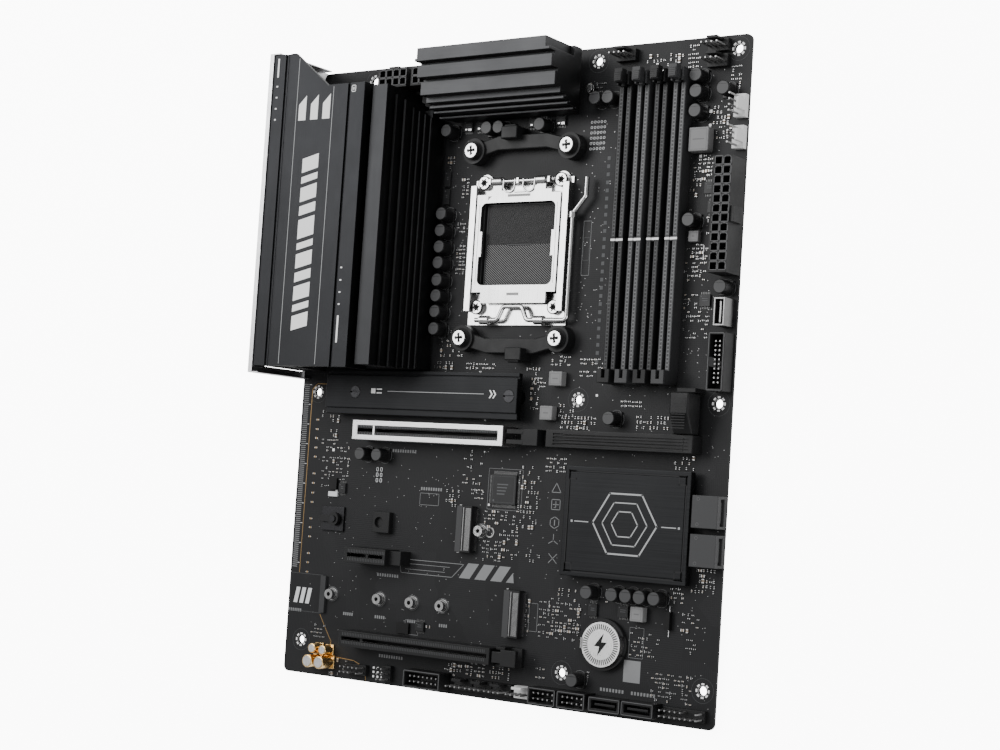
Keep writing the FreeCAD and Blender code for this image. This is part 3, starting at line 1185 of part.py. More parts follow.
def capacitor(x, y, radius, height):
    """A can on its square base."""
    base = block(x, y, TOP, 2 * radius + 0.3, 2 * radius + 0.3, S.cap_base_h)
    can = post(x, y, TOP, radius, height)
    rim = can.makeFillet(0.5, [edge for edge in can.Edges if edge.BoundBox.ZMin > float(TOP) + 1
                               and edge.BoundBox.ZLength < 1e-6])
    return base.fuse(rim).removeSplitter()


def make_capacitors():
    """Polymer capacitors round the socket and slots, and the gilt audio capacitors."""
    places = [(S.sink_x + S.sink_w + 4.6, SOCKET_Y + shift) for shift in
              (15.2, 7.1, -0.9, -8.6, -17.0, -24.6, -32.2, -40.6)]
    places += [(S.socket_x + shift, SOCKET_Y + COOLER_DY + 10.8) for shift in (-43.4, -19.8, -13.0, 10.4)]
    places += [(S.board_w - inset, S.board_h - drop) for inset, drop in
               ((23.4, 18.2), (22.9, 25.6), (22.8, 34.4), (9.4, 25.1), (75.4, 25.2), (68.5, 25.2),
                (23.0, 83.2), (5.4, 113.0))]
    places += [(dim(x), dim(y)) for x, y in ((45.2, 111.0), (55.6, 110.8), (175.1, 14.6))]
    places += [(S.chipset_x + x, S.chipset_y - 6.6) for x in (15.0, 28.2, 35.4, 42.4, 49.8)]
    places.append((dim(186.1), S.board_h - 172.1))
    feature("polymer_capacitors", [capacitor(x, y, S.cap_r, S.cap_h) for x, y in places])
    gilt = [(23.0, 13.6, 2.4, 7.0), (29.6, 13.3, 2.4, 7.0), (22.6, 7.4, 3.1, 9.4), (29.8, 7.3, 3.1, 9.4)]
    feature("audio_capacitors", [capacitor(dim(x), dim(y), dim(r), dim(h)) for x, y, r, h in gilt])


def make_small_parts(stages, chokes):
    """The inductors and the chips, with those that the heatsinks cover."""
    front = S.board_w
    top = S.board_h
    coils = [block(front - 21.2, top - 47.0, TOP, 9.8, 10.8, 5.4),
             block(front - 22.3, top - 90.0, TOP, 5.0, 5.0, 3.0),
             block(dim(154.6), top - 154.6, TOP, 7.0, 6.6, 4.4),
             block(dim(150.6), top - 170.6, TOP, 6.8, 6.6, 4.4),
             block(dim(204.6), dim(46.6), TOP, 6.6, 6.6, 4.0)]
    feature("inductors", coils + chokes)
    chips = [block(dim(127.8), dim(97.8), TOP, 14.0, 14.0, 1.4)]
    chips.append(block(S.chipset_x + S.chipset_w / 2, S.chipset_y + S.chipset_d / 2, TOP,
                       S.chip_w, S.chip_w, S.chipset_z))
    row_y = SOCKET_Y + COOLER_DY + 13.6
    column_x = S.sink_x + S.sink_w + 2.6
    chips += [block(S.socket_x + shift, row_y, TOP, 5.2, 5.4, 1.2) for shift in (-35.0, -27.4, 3.0, 18.4)]
    chips += [block(column_x, SOCKET_Y + shift, TOP, 3.4, 7.4, 1.2) for shift in (33.2, 24.4)]
    chips += [block(dim(x), dim(y), TOP, dx, dy, 1.2) for x, y, dx, dy in
              ((84.0, 29.8, 5.0, 4.4), (30.6, 93.4, 4.2, 5.0), (196.0, 47.0, 5.4, 5.2),
               (180.2, 46.4, 4.6, 5.6))]
    chips += [block(front - inset, top - drop, TOP, 5.4, 5.4, 1.0) for inset, drop in
              ((16.6, 68.2), (15.8, 118.4), (14.4, 76.8))]
    feature("chips", chips + stages)


def make_tails():
    """Solder tails of the through-hole parts, all trimmed to one length."""
    tails = []

    def tail(x, y):
        tails.append(post(x, y, -S.tail_len, S.tail_r, S.tail_len))

    for column in range(2):
        for row in range(12):
            tail(S.board_w - S.atx_inset + S.plug_wall + S.cell / 2 + column * S.cell_pitch,
                 S.board_h - S.atx_from_top - S.atx_len + S.plug_wall + S.cell / 2 + row * S.cell_pitch)
    for index in range(9):
        for row in range(2):
            tail(S.eps_x + 2.5 + index * S.cell_pitch, S.board_h - S.eps_from_top + 2.5 + row * S.cell_pitch)
    for step, length in ((0, S.pcie_len), (3, S.pcie_x1_len), (5, S.pcie_len)):
        count = int(float(length) / 6)
        for index in range(count):
            for side in (-1, 1):
                tail(S.pcie_x + 4 + index * 6.0, slot_y(step) + side * 2.0)
    for slot in range(4):
        for index in range(3):
            tail(DIMM_X + slot * S.dimm_pitch, DIMM_Y + 3.0 + index * (S.dimm_len - 6.0) / 2)
    for index in range(15):
        for shift in (-5.0, 5.0):
            tail(6.0 + shift, port_y(6.0 + index * 10.4))
    for index in range(20):
        tail(45.0 + index * 10.0, S.edge_row_y)
    feature("solder_tails", tails)


make_pcb()
make_backplate()
make_housing()
make_socket_frame()
make_socket_screws()
make_load_plate()
make_lever()
node("cooler_brackets", group(bracket(1), bracket(-1)))
make_bracket_screws()
make_usb()
make_lan()
make_audio()
make_antennas()
make_video()
make_button()
make_shield()
make_cover()
make_rear_heatsink()
make_top_heatsink()
power_stages, power_chokes = make_under_heatsinks()
for slot_index in range(4):
    make_dimm(slot_index)
    make_dimm_latch(slot_index)
make_slots()
make_first_latch()
make_last_latch()
make_m2()
make_m2_heatsink()
make_chipset()
make_power_connectors()
make_headers()
make_usb_c_header()
make_sata()
make_battery()
make_capacitors()
make_small_parts(power_stages, power_chokes)
make_tails()


# ---------------------------------------------------------------- checking and export

doc.recompute()
faults = [obj.Label for obj in doc.Objects if "Invalid" in obj.State or "Error" in obj.State]
for piece in NODES:
    if piece.Shape.isNull() or not piece.Shape.isValid():
        faults.append(piece.Label + " shape")
if faults:
    raise RuntimeError("not built: " + ", ".join(faults))
os.makedirs("parts", exist_ok=True)
for piece in NODES:
    piece.Shape.exportStep(f"parts/{piece.Label}.step")
print(len(NODES), "nodes")
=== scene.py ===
"""Looks of the motherboard: finishes, bevels, print, solder and small parts round the fixed model.

Board coordinates are millimetres from the lowest corner of the circuit board, with z counted
from its top face. Every piece's place is in its mesh, and its object stays at the origin.
"""

import json
import logging
import math
import random
from collections.abc import Iterable, Sequence
from dataclasses import dataclass, field
from enum import Enum

import bmesh
import bpy
from mathutils import Matrix, Vector
from mathutils.bvhtree import BVHTree

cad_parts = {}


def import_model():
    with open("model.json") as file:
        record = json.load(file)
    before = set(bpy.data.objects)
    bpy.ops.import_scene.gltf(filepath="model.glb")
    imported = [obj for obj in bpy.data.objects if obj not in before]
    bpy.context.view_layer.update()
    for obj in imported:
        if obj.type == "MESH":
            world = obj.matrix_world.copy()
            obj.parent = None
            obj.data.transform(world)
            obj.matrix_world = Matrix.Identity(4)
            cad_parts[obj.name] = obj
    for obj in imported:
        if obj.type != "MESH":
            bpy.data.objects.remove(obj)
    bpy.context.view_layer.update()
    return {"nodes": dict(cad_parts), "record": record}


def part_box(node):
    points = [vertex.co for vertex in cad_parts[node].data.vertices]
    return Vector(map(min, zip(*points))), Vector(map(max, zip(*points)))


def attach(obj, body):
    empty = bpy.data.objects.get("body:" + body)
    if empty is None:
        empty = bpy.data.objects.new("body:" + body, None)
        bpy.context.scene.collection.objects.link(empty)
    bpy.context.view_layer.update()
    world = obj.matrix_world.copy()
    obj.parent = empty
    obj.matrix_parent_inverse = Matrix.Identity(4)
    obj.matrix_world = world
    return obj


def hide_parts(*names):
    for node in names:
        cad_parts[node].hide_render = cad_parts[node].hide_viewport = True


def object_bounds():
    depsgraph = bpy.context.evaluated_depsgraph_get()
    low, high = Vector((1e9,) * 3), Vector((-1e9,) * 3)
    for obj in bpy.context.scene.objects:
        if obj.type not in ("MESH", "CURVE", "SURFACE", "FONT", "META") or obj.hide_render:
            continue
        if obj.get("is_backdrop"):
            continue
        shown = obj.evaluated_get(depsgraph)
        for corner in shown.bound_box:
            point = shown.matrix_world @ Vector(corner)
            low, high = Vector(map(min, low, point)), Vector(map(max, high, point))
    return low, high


LOG = logging.getLogger("motherboard")
MM = 0.001
WELD = 2e-6
LEVEL_TURN = 0.5
SHARP_TURN = 34.0
CAST_SHARP_TURN = 32.0
LIFT = 0.03
PRINT = (0.0, LIFT)
QUARTER = math.pi / 2
Pair = tuple[float, float]
Triple = tuple[float, float, float]
Box = tuple[Vector, Vector]


class Along(Enum):
    """The direction that brush marks, rows and ladders run in."""

    X = 0
    Y = 1
    Z = 2


def on(face: float) -> Pair:
    """Heights of the two faces of a mark that lies on a face."""
    return (face, face + LIFT)


def round_points(cx: float, cy: float, radius: float, sides: int, first: float = 0.0) -> list[Pair]:
    """Points at an even turn round a circle, from a first turn in radians."""
    return [(cx + radius * math.cos(first + turn), cy + radius * math.sin(first + turn))
            for turn in (2 * math.pi * step / sides for step in range(sides))]


# ------------------------------------------------------------------ finishes


class Recipe:
    """A material's node tree while it is being put together."""

    def __init__(self, name: str, tone: Triple, gloss: float, metal: float = 0.0, shine: float = 0.5) -> None:
        """Start a material.

        Args:
            name: The material's name.
            tone: Base colour.
            gloss: Roughness, from 0 for a mirror to 1.
            metal: 1 for a metal.
            shine: Strength of the clear reflection over the colour.
        """
        self.material = bpy.data.materials.new(name)
        self.material.use_nodes = True
        self.tree = self.material.node_tree
        self.shader = self.tree.nodes["Principled BSDF"]
        self.shader.inputs["Base Color"].default_value = (*tone, 1.0)
        self.shader.inputs["Roughness"].default_value = gloss
        self.shader.inputs["Metallic"].default_value = metal
        self.shader.inputs["Specular IOR Level"].default_value = shine

    def add(self, kind: str, **inputs: object) -> bpy.types.Node:
        """Add a node and set or link its inputs.

        Args:
            kind: The node's type name.
            **inputs: Input names with spaces as underscores; a socket is linked.

        Returns:
            The new node.
        """
        node = self.tree.nodes.new(kind)
        for name, value in inputs.items():
            target = node.inputs[int(name[1:])] if name[1:].isdigit() else node.inputs[name.replace("_", " ")]
            if isinstance(value, bpy.types.NodeSocket):
                self.tree.links.new(value, target)
            else:
                target.default_value = value
        return node

    def place(self, stretch: Triple = (1.0, 1.0, 1.0), turn: float = 0.0) -> bpy.types.NodeSocket:
        """Object coordinates, stretched and turned about z.

        Args:
            stretch: Factor on each axis.
            turn: Turn in radians.

        Returns:
            The vector socket.
        """
        where = self.add("ShaderNodeTexCoord")
        mapping = self.add("ShaderNodeMapping", Vector=where.outputs["Object"], Scale=stretch,
                           Rotation=(0.0, 0.0, turn))
        return mapping.outputs["Vector"]

    def noise(self, scale: float, detail: float = 3.0, stretch: Triple = (1.0, 1.0,
                                                                          1.0)) -> bpy.types.NodeSocket:
        """Noise on object coordinates.

        Args:
            scale: Features per metre.
            detail: Octaves.
            stretch: Factor on each axis.

        Returns:
            The noise value socket.
        """
        node = self.add("ShaderNodeTexNoise", Vector=self.place(stretch), Scale=scale, Detail=detail)
        return node.outputs["Fac"]

    def math(self, operation: str, first: object, second: object = 0.0) -> bpy.types.NodeSocket:
        """One sum on values or sockets.

        Args:
            operation: Blender's name of the sum.
            first: Left value or socket.
            second: Right value or socket.

        Returns:
            The result socket.
        """
        node = self.tree.nodes.new("ShaderNodeMath")
        node.operation = operation
        for slot, value in enumerate((first, second)):
            if isinstance(value, bpy.types.NodeSocket):
                self.tree.links.new(value, node.inputs[slot])
            else:
                node.inputs[slot].default_value = value
        return node.outputs[0]

    def spread(self, value: bpy.types.NodeSocket, low: float, high: float) -> bpy.types.NodeSocket:
        """Map a noise value from its useful middle onto low to high."""
        node = self.add("ShaderNodeMapRange", Value=value, From_Min=0.25, From_Max=0.75, To_Min=low,
                        To_Max=high)
        return node.outputs["Result"]

    def tint(self, value: bpy.types.NodeSocket, dark: Triple, light: Triple) -> None:
        """Colour the surface between two tones by a value."""
        node = self.add("ShaderNodeMix")
        node.data_type = "RGBA"
        self.tree.links.new(value, node.inputs[0])
        node.inputs[6].default_value = (*dark, 1.0)
        node.inputs[7].default_value = (*light, 1.0)
        self.tree.links.new(node.outputs[2], self.shader.inputs["Base Color"])

    def rough(self, value: bpy.types.NodeSocket, low: float, high: float) -> None:
        """Vary the roughness by a value."""
        self.tree.links.new(self.spread(value, low, high), self.shader.inputs["Roughness"])

    def bump(self, height: bpy.types.NodeSocket, depth: float, strength: float = 0.6) -> None:
        """Raise the surface by a height value, depth in millimetres."""
        node = self.add("ShaderNodeBump", Height=height, Distance=depth * MM, Strength=strength)
        self.tree.links.new(node.outputs["Normal"], self.shader.inputs["Normal"])


def shade(tone: Triple, factor: float) -> Triple:
    """A tone made lighter or darker by a factor."""
    return tuple(min(1.0, channel * factor) for channel in tone)


@dataclass(frozen=True)
class Moulded:
    """Injection-moulded nylon or epoxy: a fine spark-eroded grain and uneven gloss."""

    name: str
    tone: Triple
    gloss: float = 0.5
    grain: float = 2600.0
    depth: float = 0.05
    speckle: float = 0.18
    shine: float = 0.22

    def material(self) -> bpy.types.Material:
        """Build the material."""
        recipe = Recipe(self.name, self.tone, self.gloss, shine=self.shine)
        grain = recipe.noise(self.grain, 5.0)
        cloud = recipe.noise(self.grain / 30.0, 4.0)
        mixed = recipe.math("ADD", recipe.math("MULTIPLY", grain, 0.4), recipe.math("MULTIPLY", cloud, 0.6))
        recipe.tint(mixed, shade(self.tone, 1.0 - self.speckle), shade(self.tone, 1.0 + self.speckle))
        recipe.rough(cloud, self.gloss - 0.08, self.gloss + 0.1)
        recipe.bump(grain, self.depth, 0.5)
        return recipe.material


@dataclass(frozen=True)
class Brushed:
    """Brushed metal, bare or anodised, with marks along one direction."""

    name: str
    tone: Triple
    gloss: float
    along: Along
    metal: float = 1.0
    contrast: float = 0.3
    depth: float = 0.03
    lines: float = 5200.0

    def material(self) -> bpy.types.Material:
        """Build the material."""
        recipe = Recipe(self.name, self.tone, self.gloss, self.metal)
        stretch = [1.0, 1.0, 1.0]
        stretch[self.along.value] = 0.012
        streak = recipe.noise(self.lines, 4.0, tuple(stretch))
        cloud = recipe.noise(60.0, 3.0)
        recipe.tint(streak, shade(self.tone, 1.0 - self.contrast), shade(self.tone, 1.0 + self.contrast))
        mixed = recipe.math("ADD", recipe.math("MULTIPLY", streak, 0.7), recipe.math("MULTIPLY", cloud, 0.3))
        recipe.rough(mixed, self.gloss - 0.1, self.gloss + 0.12)
        recipe.bump(streak, self.depth, 0.35)
        return recipe.material


@dataclass(frozen=True)
class Plated:
    """Bright plating over stamped or turned metal, with faint handling marks."""

    name: str
    tone: Triple
    gloss: float = 0.2
    depth: float = 0.02

    def material(self) -> bpy.types.Material:
        """Build the material."""
        recipe = Recipe(self.name, self.tone, self.gloss, 1.0)
        cloud = recipe.noise(220.0, 5.0)
        scratch = recipe.noise(3000.0, 3.0, (1.0, 0.08, 1.0))
        recipe.tint(cloud, shade(self.tone, 0.88), shade(self.tone, 1.06))
        recipe.rough(scratch, self.gloss - 0.07, self.gloss + 0.12)
        recipe.bump(scratch, self.depth, 0.3)
        return recipe.material


@dataclass(frozen=True)
class SolderMask:
    """Dark solder mask over copper: faint bundles of tracks that show as small steps."""

    name: str
    tone: Triple
    gloss: float = 0.42
    shine: float = 0.14

    def material(self) -> bpy.types.Material:
        """Build the material."""
        recipe = Recipe(self.name, self.tone, self.gloss, shine=self.shine)
        cells = recipe.add("ShaderNodeTexVoronoi", Vector=recipe.place(), Scale=46.0)
        cells.distance = "CHEBYCHEV"
        pick = recipe.add("ShaderNodeSeparateColor", Color=cells.outputs["Color"])
        waves = []
        for turn in (0.0, QUARTER, math.pi / 4):
            wave = recipe.add("ShaderNodeTexWave", Vector=recipe.place(turn=turn), Scale=330.0,
                              Distortion=0.0)
            waves.append(recipe.math("GREATER_THAN", wave.outputs["Fac"], 0.62))
        upright = recipe.math("MULTIPLY", waves[0], recipe.math("GREATER_THAN", pick.outputs[0], 0.66))
        level = recipe.math("MULTIPLY", waves[1], recipe.math("GREATER_THAN", pick.outputs[1], 0.66))
        slant = recipe.math("MULTIPLY", waves[2], recipe.math("GREATER_THAN", pick.outputs[2], 0.82))
        tracks = recipe.math("MAXIMUM", recipe.math("MAXIMUM", upright, level), slant)
        cloud = recipe.noise(35.0, 4.0)
        grain = recipe.noise(5200.0, 3.0)
        shown = recipe.math("ADD", recipe.math("MULTIPLY", tracks, 0.34), recipe.math("MULTIPLY", cloud, 0.5))
        recipe.tint(shown, shade(self.tone, 0.82), shade(self.tone, 1.5))
        recipe.rough(cloud, self.gloss - 0.06, self.gloss + 0.08)
        height = recipe.math("ADD", recipe.math("MULTIPLY", tracks, 0.8), recipe.math("MULTIPLY", grain, 0.2))
        recipe.bump(height, 0.03, 0.5)
        return recipe.material


@dataclass(frozen=True)
class ContactSheet:
    """The socket's sprung contacts: fine dots above the middle slit, a slanted weave below it."""

    name: str
    tone: Triple
    bright: Triple
    middle: float
    pitch: float = 1.1

    def material(self) -> bpy.types.Material:
        """Build the material."""
        recipe = Recipe(self.name, self.tone, 0.42, shine=0.1)
        where = recipe.add("ShaderNodeSeparateXYZ", Vector=recipe.place((1000.0 / self.pitch,) * 3))
        flat = recipe.add("ShaderNodeSeparateXYZ", Vector=recipe.place())
        across = recipe.math("PINGPONG", where.outputs[0], 0.5)
        shifted = recipe.math("ADD", where.outputs[1], recipe.math("MULTIPLY", where.outputs[0], 0.5))
        up = recipe.math("PINGPONG", shifted, 0.5)
        away = recipe.math("ADD", recipe.math("POWER", recipe.math("SUBTRACT", across, 0.25), 2.0),
                           recipe.math("POWER", recipe.math("SUBTRACT", up, 0.25), 2.0))
        dots = recipe.math("LESS_THAN", away, 0.011)
        slope = recipe.math("ADD", recipe.math("MULTIPLY", where.outputs[0], 0.8), where.outputs[1])
        weave = recipe.math("GREATER_THAN", recipe.math("PINGPONG", slope, 0.5), 0.3)
        lower = recipe.math("LESS_THAN", flat.outputs[1], self.middle)
        upper = recipe.math("SUBTRACT", 1.0, lower)
        shown = recipe.math("ADD", recipe.math("MULTIPLY", dots, upper),
                            recipe.math("MULTIPLY", weave, lower))
        recipe.tint(shown, self.tone, self.bright)
        recipe.bump(shown, 0.15, 0.8)
        return recipe.material


@dataclass
class Palette:
    """Every finish that the pieces use, built once."""

    made: dict[str, bpy.types.Material] = field(default_factory=dict)

    def mix(self, middle: float) -> None:
        """Build the materials.

        Args:
            middle: Height of the processor socket's middle on the frame's y axis, in metres.
        """
        finishes = (
            SolderMask("board_mask", (0.0145, 0.0147, 0.0155)),
            Brushed("anodised_level", (0.044, 0.0445, 0.046), 0.42, Along.X),
            Brushed("anodised_upright", (0.034, 0.0345, 0.036), 0.42, Along.Y),
            Brushed("anodised_deep", (0.016, 0.016, 0.017), 0.45, Along.Y),
            Brushed("cover_satin", (0.024, 0.0245, 0.026), 0.42, Along.Y),
            Brushed("lid_satin", (0.022, 0.0225, 0.0235), 0.46, Along.X, contrast=0.55, lines=2000.0),
            Plated("bright_steel", (0.62, 0.62, 0.62), 0.17),
            Brushed("sheet_steel", (0.53, 0.53, 0.53), 0.26, Along.Y, contrast=0.1),
            Plated("shield_steel", (0.6, 0.6, 0.61), 0.32),
            Plated("tin", (0.6, 0.6, 0.6), 0.3, 0.05),
            Plated("dull_tin", (0.3, 0.3, 0.3), 0.42, 0.05),
            Plated("gilt", (0.95, 0.66, 0.3), 0.22),
            Plated("gold_trace", (0.26, 0.17, 0.08), 0.45),
            Moulded("black_nylon", (0.0095, 0.0096, 0.01), 0.44),
            Moulded("deep_black", (0.004, 0.004, 0.0042), 0.55),
            Moulded("grey_nylon", (0.034, 0.0345, 0.036), 0.42),
            Moulded("pale_grey_nylon", (0.042, 0.0425, 0.044), 0.46),
            Moulded("white_nylon", (0.6, 0.6, 0.6), 0.45, speckle=0.05),
            Moulded("can_top", (0.05, 0.0505, 0.052), 0.36, 900.0, 0.02, 0.1),
            Moulded("can_side", (0.012, 0.012, 0.0125), 0.3, 900.0, 0.02, 0.1),
            Moulded("pressed_ferrite", (0.19, 0.19, 0.192), 0.55, 3200.0, 0.1, 0.25),
            Moulded("dark_ferrite", (0.12, 0.12, 0.123), 0.5, 3200.0, 0.1, 0.25),
            Moulded("chip_epoxy", (0.016, 0.0163, 0.017), 0.36, 3800.0, 0.03, 0.2),
            Moulded("chip_mark", (0.075, 0.077, 0.08), 0.5, 3800.0, 0.01, 0.2),
            Moulded("thermal_pad", (0.24, 0.24, 0.25), 0.8, 1500.0, 0.1),
            Moulded("white_print", (0.62, 0.63, 0.64), 0.55, 4200.0, 0.01, 0.12),
            Moulded("grey_print", (0.19, 0.193, 0.197), 0.55, 4200.0, 0.01, 0.2),
            Moulded("faint_print", (0.075, 0.077, 0.08), 0.55, 4200.0, 0.01, 0.2),
            Moulded("bright_mark", (0.84, 0.84, 0.84), 0.4, 4200.0, 0.01, 0.04),
            Moulded("light_line", (0.36, 0.365, 0.37), 0.4, 4200.0, 0.01, 0.08),
            Moulded("ceramic_tan", (0.23, 0.19, 0.15), 0.5, 5000.0, 0.02),
            Moulded("ceramic_dark", (0.03, 0.03, 0.032), 0.4, 5000.0, 0.02),
            ContactSheet("contact_sheet", (0.006, 0.006, 0.0065), (0.17, 0.17, 0.17), middle),
            Plated("cell_steel", (0.83, 0.83, 0.83), 0.3),
            Moulded("stamped_grey", (0.3, 0.3, 0.3), 0.5, 4200.0, 0.01, 0.1),
            Moulded("stamped_dark", (0.02, 0.02, 0.02), 0.5, 4200.0, 0.01, 0.1),
            Moulded("rail_dark", (0.05, 0.051, 0.053), 0.4),
            Moulded("rail_pale", (0.12, 0.122, 0.126), 0.4),
            Brushed("sleeve_steel", (0.7, 0.7, 0.7), 0.32, Along.X, contrast=0.08),
            Moulded("lid_groove", (0.012, 0.012, 0.013), 0.5),
            Moulded("cell_line", (0.1, 0.101, 0.104), 0.42),
            Plated("screw_dark", (0.035, 0.035, 0.037), 0.34),
            Plated("lead_grey", (0.16, 0.16, 0.16), 0.4, 0.05),
            Plated("shell_dark", (0.22, 0.22, 0.22), 0.3),
            Plated("foot_tin", (0.54, 0.54, 0.54), 0.36, 0.05),
        )
        for finish in finishes:
            self.made[finish.name] = finish.material()

    def __getitem__(self, name: str) -> bpy.types.Material:
        """One finish by name."""
        return self.made[name]


# ------------------------------------------------------------------ the bench


@dataclass
class Bench:
    """What every sub-assembly works with: the fixed model, its plan and the finishes."""

    nodes: dict[str, bpy.types.Object]
    palette: Palette
    slots: dict[str, str]
    bodies: dict[str, str]
    flat_area: float = 9.0
    corner: Vector = field(init=False)
    top: float = field(init=False)

    def __post_init__(self) -> None:
        """Find the board's corner and its top face."""
        low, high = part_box("pcb")
        self.corner = Vector((low.x, low.y, high.z))
        self.top = high.z

    def at(self, x: float, y: float, z: float = 0.0) -> Vector:
        """A point in board millimetres, as a point of the frame."""
        return self.corner + Vector((x, y, z)) * MM

    def box(self, node: str) -> tuple[float, float, float, float, float, float]:
        """A node's box in board millimetres: x, y and z, low then high."""
        low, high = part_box(node)
        low = (low - self.corner) / MM
        high = (high - self.corner) / MM
        return (low.x, high.x, low.y, high.y, low.z, high.z)

    def solids(self, node: str) -> list[Box]:
        """The boxes of a node's separate solids, in board millimetres, lowest x first."""
        mesh = bmesh.new()
        mesh.from_mesh(self.nodes[node].data)
        bmesh.ops.remove_doubles(mesh, verts=mesh.verts, dist=1e-6)
        boxes = []
        seen: set[bmesh.types.BMVert] = set()
        for start in mesh.verts:
            if start in seen:
                continue
            stack = [start]
            seen.add(start)
            low = start.co.copy()
            high = start.co.copy()
            while stack:
                vertex = stack.pop()
                for axis in range(3):
                    low[axis] = min(low[axis], vertex.co[axis])
                    high[axis] = max(high[axis], vertex.co[axis])
                for edge in vertex.link_edges:
                    other = edge.other_vert(vertex)
                    if other not in seen:
                        seen.add(other)
                        stack.append(other)
            boxes.append(((low - self.corner) / MM, (high - self.corner) / MM))
        mesh.free()
        return sorted(boxes, key=lambda pair: (round(pair[0].x, 1), round(pair[0].y, 1)))

    def middles(self, node: str) -> list[tuple[float, float, Vector, Vector]]:
        """Each solid's middle across and along, with the two ends of its box."""
        return [((low.x + high.x) / 2, (low.y + high.y) / 2, low, high) for low, high in self.solids(node)]

    def dress(self, node: str, finish: str) -> None:
        """Give a node of the fixed model a finish."""
        materials = self.nodes[node].data.materials
        if not materials:
            materials.append(self.palette[finish])
        for index in range(len(materials)):
            materials[index] = self.palette[finish]

    def keep(self, name: str, mesh: bpy.types.Mesh, body: str, slot: str) -> bpy.types.Object:
        """Put a finished mesh on its body.

        Args:
            name: The piece's name.
            mesh: Its mesh, in the frame's metres.
            body: The body that it rides on.
            slot: The record's material slot that it belongs to; not used.

        Returns:
            The piece.
        """
        piece = bpy.data.objects.new(name, mesh)
        bpy.context.scene.collection.objects.link(piece)
        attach(piece, body)
        LOG.info("%s: %d faces on %s", name, len(mesh.polygons), body)
        return piece

    def even_normals(self, data: bpy.types.Mesh) -> bpy.types.Mesh:
        """A copy of a mesh whose large flat faces stay flat beside their rounded edges."""
        carrier = bpy.data.objects.new("carrier", data)
        bpy.context.scene.collection.objects.link(carrier)
        modifier = carrier.modifiers.new("weights", "WEIGHTED_NORMAL")
        modifier.keep_sharp = True
        graph = bpy.context.evaluated_depsgraph_get()
        mesh = bpy.data.meshes.new_from_object(carrier.evaluated_get(graph), depsgraph=graph)
        carrier.modifiers.remove(modifier)
        bpy.data.objects.remove(carrier)
        return mesh

    def refine(self, node: str, finish: str, bevel: float, extras: Sequence[str] = (),
               angle: float = 38.0) -> bpy.types.Object:
        """Replace a node with a copy whose outer edges are rounded over.

        Args:
            node: The node that the copy stands for.
            finish: Its finish.
            bevel: Width of the rounding in millimetres.
            extras: More finishes, added as further material slots; every face takes the first.
            angle: Edges that turn more than this many degrees are rounded.

        Returns:
            The copy.
        """
        mesh = bmesh.new()
        mesh.from_mesh(self.nodes[node].data)
        bmesh.ops.remove_doubles(mesh, verts=mesh.verts, dist=WELD)
        bmesh.ops.dissolve_limit(mesh, angle_limit=math.radians(1.0), verts=mesh.verts, edges=mesh.edges)
        sharp = [edge for edge in mesh.edges if edge.is_manifold and edge.is_convex
                 and edge.calc_face_angle(0.0) > math.radians(angle) and edge.calc_length() > 2.2 * bevel * MM]
        bmesh.ops.bevel(mesh, geom=sharp, offset=bevel * MM, segments=2, profile=0.6, affect="EDGES",
                        clamp_overlap=True)
        mesh.normal_update()
        for face in mesh.faces:
            level = any(edge.is_manifold and edge.calc_face_angle(1.0) < math.radians(LEVEL_TURN) for edge in face.edges)
            flat = level or len(face.verts) > 4 or face.calc_area() >= self.flat_area * MM * MM
            face.smooth = not flat
            face.material_index = 0
        bmesh.ops.triangulate(mesh, faces=[face for face in mesh.faces if len(face.verts) > 4])
        data = bpy.data.meshes.new(node + "_rounded")
        mesh.to_mesh(data)
        mesh.free()
        for name in (finish, *extras):
            data.materials.append(self.palette[name])
        smooth = [face.use_smooth for face in data.polygons]
        data.set_sharp_from_angle(angle=math.radians(SHARP_TURN))
        data.polygons.foreach_set("use_smooth", smooth)
        piece = self.keep(node + "_rounded", self.even_normals(data), self.bodies[node], self.slots[node])
        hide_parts(node)
        return piece


